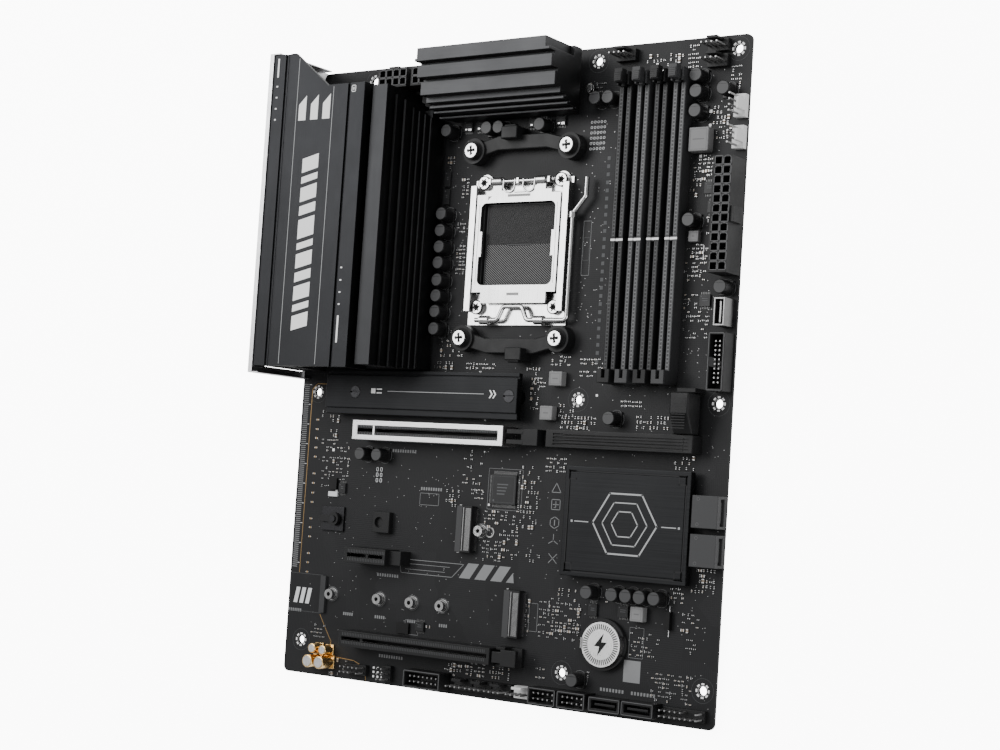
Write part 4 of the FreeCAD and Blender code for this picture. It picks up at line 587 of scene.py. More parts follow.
class Mould:
    """Collects the faces of one piece, in board millimetres."""

    def __init__(self, bench: Bench, *finishes: str) -> None:
        """Start a piece with its finishes."""
        self.bench = bench
        self.finishes = finishes
        self.mesh = bmesh.new()

    def prism(self, outline: Sequence[Pair], low: float, high: float, finish: int = 0) -> None:
        """A closed upright prism over an outline that runs anticlockwise.

        Args:
            outline: Corners in board millimetres.
            low: Height of the bottom.
            high: Height of the top.
            finish: Which finish it takes.
        """
        area = sum(a[0] * b[1] - b[0] * a[1] for a, b in zip(outline, (*outline[1:], outline[0])))
        corners = list(outline) if area > 0 else list(reversed(outline))
        under = [self.mesh.verts.new(self.bench.at(x, y, low)) for x, y in corners]
        over = [self.mesh.verts.new(self.bench.at(x, y, high)) for x, y in corners]
        faces = [self.mesh.faces.new(tuple(reversed(under))), self.mesh.faces.new(over)]
        for index in range(len(corners)):
            following = (index + 1) % len(corners)
            faces.append(self.mesh.faces.new((under[index], under[following], over[following], over[index])))
        for face in faces:
            face.material_index = finish

    def slab(self, x: Pair, y: Pair, z: Pair, finish: int = 0) -> None:
        """A block between two values on each axis."""
        self.prism([(x[0], y[0]), (x[1], y[0]), (x[1], y[1]), (x[0], y[1])], z[0], z[1], finish)

    def disc(self, x: float, y: float, z: Pair, radius: float, sides: int = 28, finish: int = 0,
             phase: float = 0.0) -> None:
        """A round or many-sided post."""
        self.prism(round_points(x, y, radius, sides, phase), z[0], z[1], finish)

    def ring(self, x: float, y: float, z: Pair, radii: Pair, sides: int = 40, finish: int = 0,
             span: Pair = (0.0, 360.0)) -> None:
        """A flat ring, or the part of it between two angles in degrees."""
        first, last = (math.radians(value) for value in span)
        steps = max(2, int(sides * (last - first) / (2 * math.pi)))
        turns = [first + (last - first) * step / steps for step in range(steps + 1)]
        inner, outer = radii
        if last - first > 2 * math.pi - 1e-6:
            loops = []
            for radius, height in ((outer, z[0]), (outer, z[1]), (inner, z[1]), (inner, z[0])):
                loops.append([self.mesh.verts.new(self.bench.at(x + radius * math.cos(t),
                                                                y + radius * math.sin(t), height))
                              for t in turns[:-1]])
            for index, loop in enumerate(loops):
                following = loops[(index + 1) % 4]
                for step in range(steps):
                    after = (step + 1) % steps
                    face = self.mesh.faces.new((loop[step], loop[after], following[after], following[step]))
                    face.material_index = finish
            return
        outline = [(x + outer * math.cos(t), y + outer * math.sin(t)) for t in turns]
        outline += [(x + inner * math.cos(t), y + inner * math.sin(t)) for t in reversed(turns)]
        self.prism(outline, z[0], z[1], finish)

    def ribbon(self, points: Sequence[Pair], width: float, z: Pair, closed: bool = False,
               finish: int = 0) -> None:
        """A flat line of even width through points, square at its corners.

        Args:
            points: The line's corners in board millimetres.
            width: Its width.
            z: Heights of its two faces.
            closed: Whether it returns to its start.
            finish: Which finish it takes.
        """
        following = (*points[1:], points[0]) if closed else points[1:]
        for (x0, y0), (x1, y1) in zip(points, following):
            length = math.hypot(x1 - x0, y1 - y0)
            if length < 1e-6:
                continue
            ux, uy = (x1 - x0) / length * width / 2, (y1 - y0) / length * width / 2
            self.prism([(x0 - ux + uy, y0 - uy - ux), (x1 + ux + uy, y1 + uy - ux),
                        (x1 + ux - uy, y1 + uy + ux), (x0 - ux - uy, y0 - uy + ux)], z[0], z[1], finish)

    def frame(self, x: Pair, y: Pair, width: float, z: Pair, finish: int = 0) -> None:
        """A rectangular outline of even width."""
        self.ribbon([(x[0], y[0]), (x[1], y[0]), (x[1], y[1]), (x[0], y[1])], width, z, True, finish)

    def tube(self, path: Sequence[Triple], radius: float, sides: int = 10, finish: int = 0) -> None:
        """A round wire along a path of points in board millimetres, closed at both ends."""
        points = [self.bench.at(*point) for point in path]
        loops = []
        side = Vector((0.0, 0.0, 1.0))
        for index, point in enumerate(points):
            ahead = points[min(index + 1, len(points) - 1)] - points[max(index - 1, 0)]
            ahead.normalize()
            if abs(ahead.dot(side)) > 0.97:
                side = Vector((1.0, 0.0, 0.0)) if abs(ahead.x) < 0.9 else Vector((0.0, 1.0, 0.0))
            across = ahead.cross(side).normalized()
            up = across.cross(ahead).normalized()
            side = up
            loops.append([self.mesh.verts.new(point + (across * math.cos(t) + up * math.sin(t)) * radius * MM)
                          for t in (2 * math.pi * step / sides for step in range(sides))])
        faces = []
        for loop, following in zip(loops, loops[1:]):
            for step in range(sides):
                after = (step + 1) % sides
                faces.append(self.mesh.faces.new((loop[step], loop[after], following[after],
                                                  following[step])))
        faces.append(self.mesh.faces.new(tuple(reversed(loops[0]))))
        faces.append(self.mesh.faces.new(loops[-1]))
        for face in faces:
            face.material_index = finish

    def cast(self, name: str, body: str, slot: str, bevel: float = 0.0) -> bpy.types.Object:
        """Turn the collected faces into a finished piece.

        Args:
            name: The piece's name.
            body: The body that it rides on.
            slot: The record's material slot.
            bevel: Width of rounding on its edges, in millimetres.

        Returns:
            The piece.
        """
        bmesh.ops.recalc_face_normals(self.mesh, faces=self.mesh.faces)
        if bevel:
            edges = [edge for edge in self.mesh.edges if edge.is_manifold and edge.calc_face_angle(0.0) > 0.7]
            bmesh.ops.bevel(self.mesh, geom=edges, offset=bevel * MM, segments=1, profile=0.5, affect="EDGES",
                            clamp_overlap=True)
        data = bpy.data.meshes.new(name)
        self.mesh.to_mesh(data)
        self.mesh.free()
        for finish in self.finishes:
            data.materials.append(self.bench.palette[finish])
        data.shade_smooth()
        data.set_sharp_from_angle(angle=math.radians(CAST_SHARP_TURN))
        return self.bench.keep(name, data, body, slot)


# ------------------------------------------------------------------ repeats


class NodeSheet:
    """A Geometry Nodes tree with named inputs, run once to give a plain mesh."""

    def __init__(self, name: str) -> None:
        """Start a tree that takes and gives geometry."""
        self.tree = bpy.data.node_groups.new(name, "GeometryNodeTree")
        face = self.tree.interface
        face.new_socket(name="Geometry", in_out="INPUT", socket_type="NodeSocketGeometry")
        face.new_socket(name="Geometry", in_out="OUTPUT", socket_type="NodeSocketGeometry")
        self.source = self.tree.nodes.new("NodeGroupInput")
        self.result = self.tree.nodes.new("NodeGroupOutput")

    def value(self, name: str, kind: str) -> bpy.types.NodeSocket:
        """Add a named input.

        Args:
            name: The input's name.
            kind: Its socket type, such as Float.

        Returns:
            The socket that carries it inside the tree.
        """
        self.tree.interface.new_socket(name=name, in_out="INPUT", socket_type="NodeSocket" + kind)
        return self.source.outputs[name]

    def add(self, kind: str, *links: object, **inputs: object) -> bpy.types.Node:
        """Add a node.

        Args:
            kind: The node's type name.
            *links: Values for its first inputs, in order; None leaves one alone.
            **inputs: Inputs by name, with spaces as underscores.

        Returns:
            The new node.
        """
        node = self.tree.nodes.new(kind)
        named = [(node.inputs[slot], value) for slot, value in enumerate(links) if value is not None]
        named += [(node.inputs[name.replace("_", " ")], value) for name, value in inputs.items()]
        for target, value in named:
            if isinstance(value, bpy.types.NodeSocket):
                self.tree.links.new(value, target)
            else:
                target.default_value = value
        return node

    def finish(self, *branches: bpy.types.NodeSocket) -> None:
        """Join the branches into the tree's result."""
        join = self.tree.nodes.new("GeometryNodeJoinGeometry")
        for branch in branches:
            self.tree.links.new(branch, join.inputs[0])
        self.tree.links.new(join.outputs[0], self.result.inputs[0])

    def painted(self, instances: bpy.types.NodeSocket, finish: bpy.types.NodeSocket) -> bpy.types.NodeSocket:
        """Realize instances and set their material."""
        real = self.add("GeometryNodeRealizeInstances", instances)
        return self.add("GeometryNodeSetMaterial", real.outputs[0], Material=finish).outputs[0]

    def run(self, source: bpy.types.Mesh, settings: dict[str, object]) -> bpy.types.Mesh:
        """Evaluate the tree on a mesh.

        Args:
            source: The mesh that the tree takes.
            settings: Values of the named inputs.

        Returns:
            A plain mesh, with the modifier gone.
        """
        carrier = bpy.data.objects.new("carrier", source)
        bpy.context.scene.collection.objects.link(carrier)
        modifier = carrier.modifiers.new("repeat", "NODES")
        modifier.node_group = self.tree
        for item in self.tree.interface.items_tree:
            if item.in_out == "INPUT" and item.name in settings:
                modifier[item.identifier] = settings[item.name]
        graph = bpy.context.evaluated_depsgraph_get()
        mesh = bpy.data.meshes.new_from_object(carrier.evaluated_get(graph), depsgraph=graph)
        carrier.modifiers.remove(modifier)
        bpy.data.objects.remove(carrier)
        return mesh


def point_mesh(points: Iterable[Vector], turns: Sequence[float] = ()) -> bpy.types.Mesh:
    """A mesh of loose points, each with a turn about z.

    Args:
        points: Places in the frame.
        turns: Turn at each point in radians, or nothing for none.

    Returns:
        The mesh.
    """
    mesh = bpy.data.meshes.new("points")
    places = [tuple(point) for point in points]
    mesh.from_pydata(places, [], [])
    turn = mesh.attributes.new("turn", "FLOAT", "POINT")
    for index in range(len(places)):
        turn.data[index].value = turns[index] if turns else 0.0
    return mesh


@dataclass
class Copies:
    """Sets one small unit on every point: a body, and where wanted a cap at each of its ends."""

    bench: Bench
    sheet: NodeSheet = field(init=False)

    def __post_init__(self) -> None:
        """Build the tree."""
        sheet = NodeSheet("copies_on_points")
        size = sheet.value("Size", "Vector")
        cap = sheet.value("Cap Size", "Vector")
        gap = sheet.value("Cap Spacing", "Float")
        vary = sheet.value("Vary", "Float")
        seed = sheet.value("Seed", "Int")
        body_finish = sheet.value("Body Finish", "Material")
        cap_finish = sheet.value("Cap Finish", "Material")
        turn = sheet.add("GeometryNodeInputNamedAttribute", Name="turn")
        euler = sheet.add("ShaderNodeCombineXYZ", Z=turn.outputs[0])
        spin = sheet.add("FunctionNodeEulerToRotation", euler.outputs[0])
        least = sheet.add("ShaderNodeMath", 1.0, vary)
        least.operation = "SUBTRACT"
        grow = sheet.tree.nodes.new("FunctionNodeRandomValue")
        grow.data_type = "FLOAT"
        sheet.tree.links.new(least.outputs[0], grow.inputs[2])
        grow.inputs[3].default_value = 1.0
        sheet.tree.links.new(seed, grow.inputs[8])
        body = sheet.add("GeometryNodeMeshCube", Size=size)
        caps = []
        for sign in (-0.5, 0.5):
            shift = sheet.add("ShaderNodeMath", gap, sign)
            shift.operation = "MULTIPLY"
            away = sheet.add("ShaderNodeCombineXYZ", X=shift.outputs[0])
            cube = sheet.add("GeometryNodeMeshCube", Size=cap)
            caps.append(sheet.add("GeometryNodeTransform", cube.outputs[0], Translation=away.outputs[0]))
        pair = sheet.tree.nodes.new("GeometryNodeJoinGeometry")
        for moved in caps:
            sheet.tree.links.new(moved.outputs[0], pair.inputs[0])
        branches = []
        for unit, finish in ((body.outputs[0], body_finish), (pair.outputs[0], cap_finish)):
            placed = sheet.add("GeometryNodeInstanceOnPoints", sheet.source.outputs[0], Instance=unit,
                               Rotation=spin.outputs[0], Scale=grow.outputs[1])
            branches.append(sheet.painted(placed.outputs[0], finish))
        sheet.finish(*branches)
        self.sheet = sheet

    def cast(self, name: str, points: Sequence[Triple], turns: Sequence[float], size: Triple, cap: Triple,
             spacing: float, finishes: tuple[str, str], slot: str, body: str = "board", vary: float = 0.0,
             seed: int = 1) -> bpy.types.Object:
        """Make one piece of many copies.

        Args:
            name: The piece's name.
            points: Where the copies stand, at their middles, in board millimetres.
            turns: Turn of each about z.
            size: Size of the unit's body in millimetres.
            cap: Size of its end caps in millimetres.
            spacing: Distance between the two caps' middles in millimetres.
            finishes: Finish of the body and of the caps.
            slot: The record's material slot.
            body: The body that it rides on.
            vary: Largest share by which a copy is smaller.
            seed: Seed of that variation.

        Returns:
            The piece.
        """
        palette = self.bench.palette
        settings = {"Size": [value * MM for value in size], "Cap Size": [value * MM for value in cap],
                    "Cap Spacing": spacing * MM, "Vary": vary, "Seed": seed,
                    "Body Finish": palette[finishes[0]], "Cap Finish": palette[finishes[1]]}
        mesh = self.sheet.run(point_mesh([self.bench.at(*point) for point in points], turns), settings)
        return self.bench.keep(name, mesh, body, slot)


@dataclass
class Rows:
    """Rows of equal blocks at an even step, one row from each starting point."""

    bench: Bench
    sheet: NodeSheet = field(init=False)

    def __post_init__(self) -> None:
        """Build the tree."""
        sheet = NodeSheet("rows_of_blocks")
        count = sheet.value("Count", "Int")
        step = sheet.value("Step", "Vector")
        size = sheet.value("Block Size", "Vector")
        finish = sheet.value("Finish", "Material")
        line = sheet.add("GeometryNodeMeshLine", Count=count, Offset=step)
        rows = sheet.add("GeometryNodeInstanceOnPoints", sheet.source.outputs[0], Instance=line.outputs[0])
        real = sheet.add("GeometryNodeRealizeInstances", rows.outputs[0])
        cube = sheet.add("GeometryNodeMeshCube", Size=size)
        placed = sheet.add("GeometryNodeInstanceOnPoints", real.outputs[0], Instance=cube.outputs[0])
        sheet.finish(sheet.painted(placed.outputs[0], finish))
        self.sheet = sheet

    def cast(self, name: str, starts: Sequence[Triple], count: int, step: Triple, size: Triple, finish: str,
             slot: str, body: str = "board") -> bpy.types.Object:
        """Make one piece of rows.

        Args:
            name: The piece's name.
            starts: Middle of the first block of each row, in board millimetres.
            count: Blocks in a row.
            step: Step from one block to the next, in millimetres.
            size: Size of a block in millimetres.
            finish: Its finish.
            slot: The record's material slot.
            body: The body that it rides on.

        Returns:
            The piece.
        """
        settings = {"Count": count, "Step": [value * MM for value in step],
                    "Block Size": [value * MM for value in size], "Finish": self.bench.palette[finish]}
        mesh = self.sheet.run(point_mesh(self.bench.at(*start) for start in starts), settings)
        return self.bench.keep(name, mesh, body, slot)


@dataclass
class Crowns:
    """Equal blocks set round a circle, one circle at each point."""

    bench: Bench
    sheet: NodeSheet = field(init=False)

    def __post_init__(self) -> None:
        """Build the tree."""
        sheet = NodeSheet("blocks_round_a_circle")
        count = sheet.value("Count", "Int")
        radius = sheet.value("Radius", "Float")
        size = sheet.value("Block Size", "Vector")
        finish = sheet.value("Finish", "Material")
        circle = sheet.add("GeometryNodeMeshCircle", Vertices=count, Radius=radius)
        circles = sheet.add("GeometryNodeInstanceOnPoints", sheet.source.outputs[0],
                            Instance=circle.outputs[0])
        real = sheet.add("GeometryNodeRealizeInstances", circles.outputs[0])
        index = sheet.add("GeometryNodeInputIndex")
        share = sheet.add("ShaderNodeMath", index.outputs[0], count)
        share.operation = "DIVIDE"
        angle = sheet.add("ShaderNodeMath", share.outputs[0], 2 * math.pi)
        angle.operation = "MULTIPLY"
        euler = sheet.add("ShaderNodeCombineXYZ", Z=angle.outputs[0])
        spin = sheet.add("FunctionNodeEulerToRotation", euler.outputs[0])
        cube = sheet.add("GeometryNodeMeshCube", Size=size)
        placed = sheet.add("GeometryNodeInstanceOnPoints", real.outputs[0], Instance=cube.outputs[0],
                           Rotation=spin.outputs[0])
        sheet.finish(sheet.painted(placed.outputs[0], finish))
        self.sheet = sheet

    def cast(self, name: str, centres: Sequence[Triple], count: int, radius: float, size: Triple, finish: str,
             slot: str) -> bpy.types.Object:
        """Make one piece of circles.

        Args:
            name: The piece's name.
            centres: Middle of each circle, in board millimetres.
            count: Blocks in a circle.
            radius: Its radius in millimetres.
            size: Size of a block in millimetres; its first value points outwards.
            finish: Its finish.
            slot: The record's material slot.

        Returns:
            The piece.
        """
        settings = {"Count": count, "Radius": radius * MM, "Block Size": [value * MM for value in size],
                    "Finish": self.bench.palette[finish]}
        mesh = self.sheet.run(point_mesh(self.bench.at(*centre) for centre in centres), settings)
        return self.bench.keep(name, mesh, "board", slot)


@dataclass
class Repeats:
    """The three repeat trees that the sub-assemblies share."""

    copies: Copies
    rows: Rows
    crowns: Crowns


@dataclass
class Assembly:
    """What every sub-assembly holds: the bench and the shared repeat trees."""

    bench: Bench
    repeats: Repeats

    def build(self) -> None:
        """Make the sub-assembly's pieces."""
        raise NotImplementedError


# ------------------------------------------------------------------ circuit board


@dataclass
class CircuitBoard(Assembly):
    """The board with its solder rings, edge ladder, gilt track and printed marks."""

    holes: tuple[Pair, ...] = ((10.16, 16.51), (165.1, 16.51), (237.49, 16.51), (10.16, 140.97), (165.1,
                                                                                                  140.97),
                               (237.49, 140.97), (33.02, 298.45), (165.1, 298.45), (237.49, 298.45))
    track_w: float = 0.4

    def build(self) -> None:
        """Dress the board and lay its marks."""
        self.bench.dress("pcb", "board_mask")
        self.bench.dress("solder_tails", "dull_tin")
        self.hole_rings()
        self.edge_ladder()
        self.gilt_track()
        self.banner()
        self.icons()
        self.marks()

    def hole_rings(self) -> None:
        """Eight tin pads and a thin printed circle round each stand-off hole."""
        centres = [(x, y, 0.03) for x, y in self.holes]
        self.repeats.crowns.cast("hole_pads", centres, 8, 2.95, (0.75, 1.35, 0.06), "bright_mark", "tin")
        mould = Mould(self.bench, "grey_print", "dull_tin", "faint_print")
        for x, y in self.holes:
            mould.ring(x, y, PRINT, (5.3, 5.4), 64, 2)
            mould.ring(x, y, (0.0, 0.02), (2.02, 2.3), 48, 1)
        mould.cast("hole_circles", "board", "board_laminate")

    def edge_ladder(self) -> None:
        """Short dashes along the rear edge, and the dotted line beside them."""
        starts = [(2.6, 52.6, 0.012)]
        self.repeats.rows.cast("edge_ladder", starts, 93, (0.0, 1.0, 0.0), (3.1, 0.42, 0.024), "grey_print",
                               "board_laminate")
        starts = [(4.9, 54.6, 0.012)]
        self.repeats.rows.cast("edge_ticks", starts, 10, (0.0, 10.0, 0.0), (1.2, 0.3, 0.024), "white_print",
                               "board_laminate")
        places = (127.0, 122.2, 117.7, 112.9, 108.3, 99.8, 95.0, 90.1, 85.4, 77.1, 72.7, 68.1, 59.7, 55.1,
                  50.4)
        points = [(11.0, y, 0.03) for y in places]
        self.repeats.copies.cast("gilt_pads", points, [0.0] * len(points), (0.9, 0.9, 0.05), (0.3, 0.7,
                                                                                              0.06), 1.3,
                                 ("gold_trace", "tin"), "gilt")

    def gilt_track(self) -> None:
        """The warm line that parts the sound section from the rest of the board."""
        mould = Mould(self.bench, "gold_trace")
        upper = [(22.0, 145.2), (9.2, 145.2), (6.2, 142.2), (6.0, 50.0)]
        lower = [(21.3, 29.8), (24.9, 24.1), (29.4, 17.4), (29.2, 13.2), (33.2, 10.0), (44.8, 9.4), (51.9,
                                                                                                     6.6),
                 (52.8, 0.8)]
        for line in (upper, lower):
            mould.ribbon(line, self.track_w, PRINT)
        mould.cast("gilt_track", "board", "gilt")

    def banner(self) -> None:
        """The empty slanted banner and the stripes after it."""
        mould = Mould(self.bench, "grey_print", "light_line")
        mould.ribbon([(69.4, 61.2), (107.0, 61.2), (100.4, 54.6), (70.2, 54.6), (69.4, 56.4)], 0.28, PRINT,
                     True)
        mould.ribbon([(72.6, 59.2), (98.8, 59.2)], 0.22, PRINT)
        mould.ribbon([(72.6, 56.6), (96.2, 56.6)], 0.22, PRINT)
        for start in (109.6, 118.6, 127.7):
            mould.prism([(start - 5.0, 54.7), (start + 1.2, 54.7), (start + 6.2, 62.0), (start, 62.0)],
                        *PRINT, 0)
        mould.prism([(131.6, 54.7), (136.0, 54.7), (135.3, 59.4)], *PRINT, 0)
        mould.cast("banner_print", "board", "board_laminate")

    def icons(self) -> None:
        """Five plain signs in a column beside the chipset."""
        mould = Mould(self.bench, "grey_print")
        mould.ribbon([(153.9, 98.0), (158.9, 98.0), (156.4, 102.3)], 0.35, PRINT, True)
        mould.frame((154.2, 158.8), (90.1, 94.7), 0.35, PRINT)
        mould.ribbon([(156.5, 91.0), (156.5, 93.8)], 0.35, PRINT)
        mould.ribbon([(155.1, 92.4), (157.9, 92.4)], 0.35, PRINT)
        hexagon = [(156.4 + 2.7 * math.cos(math.radians(30 + 60 * step)),
                    84.1 + 2.7 * math.sin(math.radians(30 + 60 * step))) for step in range(6)]
        mould.ribbon(hexagon, 0.35, PRINT, True)
        mould.ribbon([(156.4, 83.0), (156.4, 85.2)], 0.5, PRINT)
        for turn in (90, 210, 330):
            across, up = math.cos(math.radians(turn)), math.sin(math.radians(turn))
            mould.ribbon([(156.3 + 0.5 * across, 75.9 + 0.5 * up), (156.3 + 2.8 * across, 75.9 + 2.8 * up)],
                         0.35, PRINT)
        mould.ribbon([(154.3, 65.6), (158.7, 69.8)], 0.32, PRINT)
        mould.ribbon([(158.7, 65.6), (154.3, 69.8)], 0.32, PRINT)
        mould.cast("sign_prints", "board", "board_laminate")

    def marks(self) -> None:
        """Outlines and plain stand-ins for the printed notes round the board."""
        mould = Mould(self.bench, "grey_print", "faint_print", "white_print")
        mould.frame((162.4, 166.5), (198.4, 223.7), 0.18, PRINT, 0)
        mould.frame((162.9, 166.0), (205.4, 216.0), 0.14, PRINT, 1)
        mould.slab((197.5, 206.1), (16.1, 25.8), PRINT, 0)
        mould.frame((145.6, 150.2), (33.6, 46.4), 0.16, PRINT, 0)
        mould.frame((74.6, 82.6), (25.4, 32.2), 0.2, PRINT, 0)
        mould.frame((78.6, 89.8), (88.0, 93.6), 0.2, PRINT, 0)
        for step in range(26):
            y = 158.0 + step * 3.75
            mould.slab((173.0, 174.6), (y, y + 1.7), PRINT, 1)
        for step in range(3):
            x = 3.4 + step * 3.8
            mould.prism([(x, 34.6), (x + 2.4, 34.6), (x + 4.0, 42.4), (x + 1.6, 42.4)], *PRINT, 2)
        mould.frame((0.8, 21.6), (30.6, 49.4), 0.16, PRINT, 1)
        for x0, y0, count, pitch in ((78.8, 95.0, 9, 1.45), (60.0, 112.6, 10, 1.5), (55.6, 51.8, 9, 1.5),
                                     (60.0, 12.8, 10, 1.5), (36.0, 31.0, 5, 1.3), (55.8, 31.2, 5, 1.3),
                                     (75.8, 31.0, 4, 1.3), (94.8, 30.6, 4, 1.3), (186.0, 10.8, 8, 1.6),
                                     (202.0, 10.8, 8, 1.6), (129.0, 272.8, 7, 1.4), (0.9, 30.2, 7, 1.2)):
            for index in range(count):
                x = x0 + index * pitch
                mould.slab((x, x + pitch * 0.62), (y0, y0 + 1.5), PRINT, 0)
        mould.cast("printed_marks", "board", "board_laminate")


# ------------------------------------------------------------------ processor socket


@dataclass
class ProcessorSocket(Assembly):
    """The bright socket: frame, rails, hinged load plate, lever and contact field."""

    plate_face: float = 5.2
    wire: float = 0.42

    def build(self) -> None:
        """Dress and refine the socket's parts."""
        bench = self.bench
        bench.refine("cpu_socket_housing", "black_nylon", 0.2)
        bench.dress("cpu_socket_contacts", "contact_sheet")
        bench.refine("socket_frame", "bright_steel", 0.18)
        bench.refine("socket_screws", "bright_steel", 0.35)
        bench.refine("socket_load_plate", "sheet_steel", 0.22)
        bench.dress("socket_lever", "bright_steel")
        bench.dress("socket_backplate", "shield_steel")
        bench.refine("cooler_brackets", "black_nylon", 0.5)
        bench.refine("cooler_bracket_screws", "bright_steel", 0.35)
        self.springs()
        self.plate_marks()
        self.screw_details()
        self.contact_rim()

    def middle(self) -> Pair:
        """The socket's centre in board millimetres."""
        x0, x1, y0, y1, _, _ = self.bench.box("cpu_socket_housing")
        return ((x0 + x1) / 2, (y0 + y1) / 2)

    def springs(self) -> None:
        """Two bent wires between the hinge loops that lift the load plate."""
        cx, cy = self.middle()
        mould = Mould(self.bench, "bright_steel")
        for side in (-1, 1):
            path = []
            for step in range(13):
                turn = math.pi * step / 12
                path.append((cx + side * (5.6 - 3.2 * math.cos(turn)), cy + 27.4 - 3.0 * math.sin(turn), 5.6))
            path = [(path[0][0], cy + 30.6, 5.4), *path, (path[-1][0], cy + 30.6, 5.4)]
            mould.tube(path, self.wire)
        mould.cast("hinge_springs", "load_plate", "bright_steel")

    def plate_marks(self) -> None:
        """Stamped lines on the load plate, a locating triangle and two plain engraved bars."""
        cx, cy = self.middle()
        face = self.plate_face
        mould = Mould(self.bench, "stamped_grey")
        height = (face, face + 0.025)
        mould.prism([(cx - 17.4, cy + 22.9), (cx - 15.4, cy + 22.9), (cx - 17.4, cy + 20.9)], *height)
        mould.slab((cx - 6.2, cx + 6.6), (cy + 22.3, cy + 23.5), height)
        mould.slab((cx - 2.6, cx + 3.8), (cy + 24.1, cy + 24.5), height)
        mould.slab((cx - 3.4, cx + 3.4), (cy - 24.6, cy - 23.3), height)
        for side in (-1, 1):
            mould.slab((cx + side * 22.0 - 0.12, cx + side * 22.0 + 0.12), (cy - 19.0, cy + 19.0), height)
        mould.cast("plate_engraving", "load_plate", "bright_steel")

    def screw_details(self) -> None:
        """Painted shade on the screw heads: dark stars and crosses fill the head recesses where shade falls,
        and a dark ring over each head's rim stands in for its shadow; also a steel ring low round each frame
        screw and a dark washer under each bracket screw.
        """
        mould = Mould(self.bench, "deep_black", "bright_steel")
        for x, y, low, high in self.bench.middles("socket_screws"):
            # Painted shade: a dark star fills the recess of each frame screw.
            for step in range(3):
                turn = math.radians(60 * step + 10)
                dx, dy = 1.75 * math.cos(turn), 1.75 * math.sin(turn)
                mould.ribbon([(x - dx, y - dy), (x + dx, y + dy)], 0.75, (2.06, high.z + 0.02))
            mould.ring(x, y, (1.0, 1.35), (3.32, 4.2), 36, 1)
            rim = (high.x - low.x) / 2
            # Painted shadow: a dark ring over the rim of the head.
            mould.ring(x, y, (high.z - 0.8, high.z + 0.02), (rim - 0.4, rim + 0.12), 36, 0)
        for x, y, low, high in self.bench.middles("cooler_bracket_screws"):
            mould.ring(x, y, (6.3, 6.55), (4.02, 4.9), 36, 0)
            rim = (high.x - low.x) / 2
            # Painted shadow: a dark ring over the rim of the head.
            mould.ring(x, y, (high.z - 0.8, high.z + 0.02), (rim - 0.6, rim + 0.12), 36, 0)
            # Painted shade: a dark cross fills the recess of each bracket screw.
            for turn in (math.radians(20), math.radians(110)):
                dx, dy = 1.75 * math.cos(turn), 1.75 * math.sin(turn)
                mould.ribbon([(x - dx, y - dy), (x + dx, y + dy)], 0.7, (high.z - 0.5, high.z + 0.02))
        mould.cast("screw_shade_and_washers", "board", "bright_steel")

    def contact_rim(self) -> None:
        """The dark moulded rim round the contact field, with its corner notches."""
        x0, x1, y0, y1, low, high = self.bench.box("cpu_socket_contacts")
        mould = Mould(self.bench, "grey_nylon")
        mould.frame((x0 - 0.35, x1 + 0.35), (y0 - 0.35, y1 + 0.35), 0.5, (low, high + 0.25))
        mould.slab((x0 + 12.0, x1 - 12.0), ((y0 + y1) / 2 - 0.35, (y0 + y1) / 2 + 0.35), (low, high + 0.06))
        mould.cast("contact_rim", "board", "black_plastic")


# ------------------------------------------------------------------ cooling


@dataclass
class PowerStageCooling(Assembly):
    """Both power-stage heatsinks with their pads, and the brushed ledges of the top one."""

    def build(self) -> None:
        """Refine the heatsinks."""
        self.bench.refine("vrm_heatsink_rear", "anodised_upright", 0.12)
        self.bench.refine("vrm_heatsink_top", "anodised_level", 0.2)
        self.bench.dress("thermal_pads", "thermal_pad")
        self.ribs()
        self.end_screws()

    def ribs(self) -> None:
        """Fine ribs on the lower face bank of the rear heatsink."""
        _, x1, y0, _, _, _ = self.bench.box("vrm_heatsink_rear")
        starts = [(x1 - 0.22, y0 + 4.0, z) for z in (4.6, 6.2, 7.8, 9.4)]
        self.repeats.rows.cast("rear_sink_ribs", starts, 43, (0.0, 3.0, 0.0), (0.3, 1.4, 0.5),
                               "anodised_deep",
                               "anodised_black")

    def end_screws(self) -> None:
        """Sprung screws at the ends of the top heatsink."""
        x0, x1, _, y1, _, _ = self.bench.box("vrm_heatsink_top")
        mould = Mould(self.bench, "bright_steel", "deep_black")
        for x in (x0 - 2.6, x1 + 2.4):
            mould.disc(x, y1 - 18.0, (0.0, 3.4), 2.3, 24, 1)
            mould.disc(x, y1 - 18.0, (3.4, 4.6), 1.9, 24, 0)
        mould.cast("sink_screws", "board", "bright_steel", 0.1)


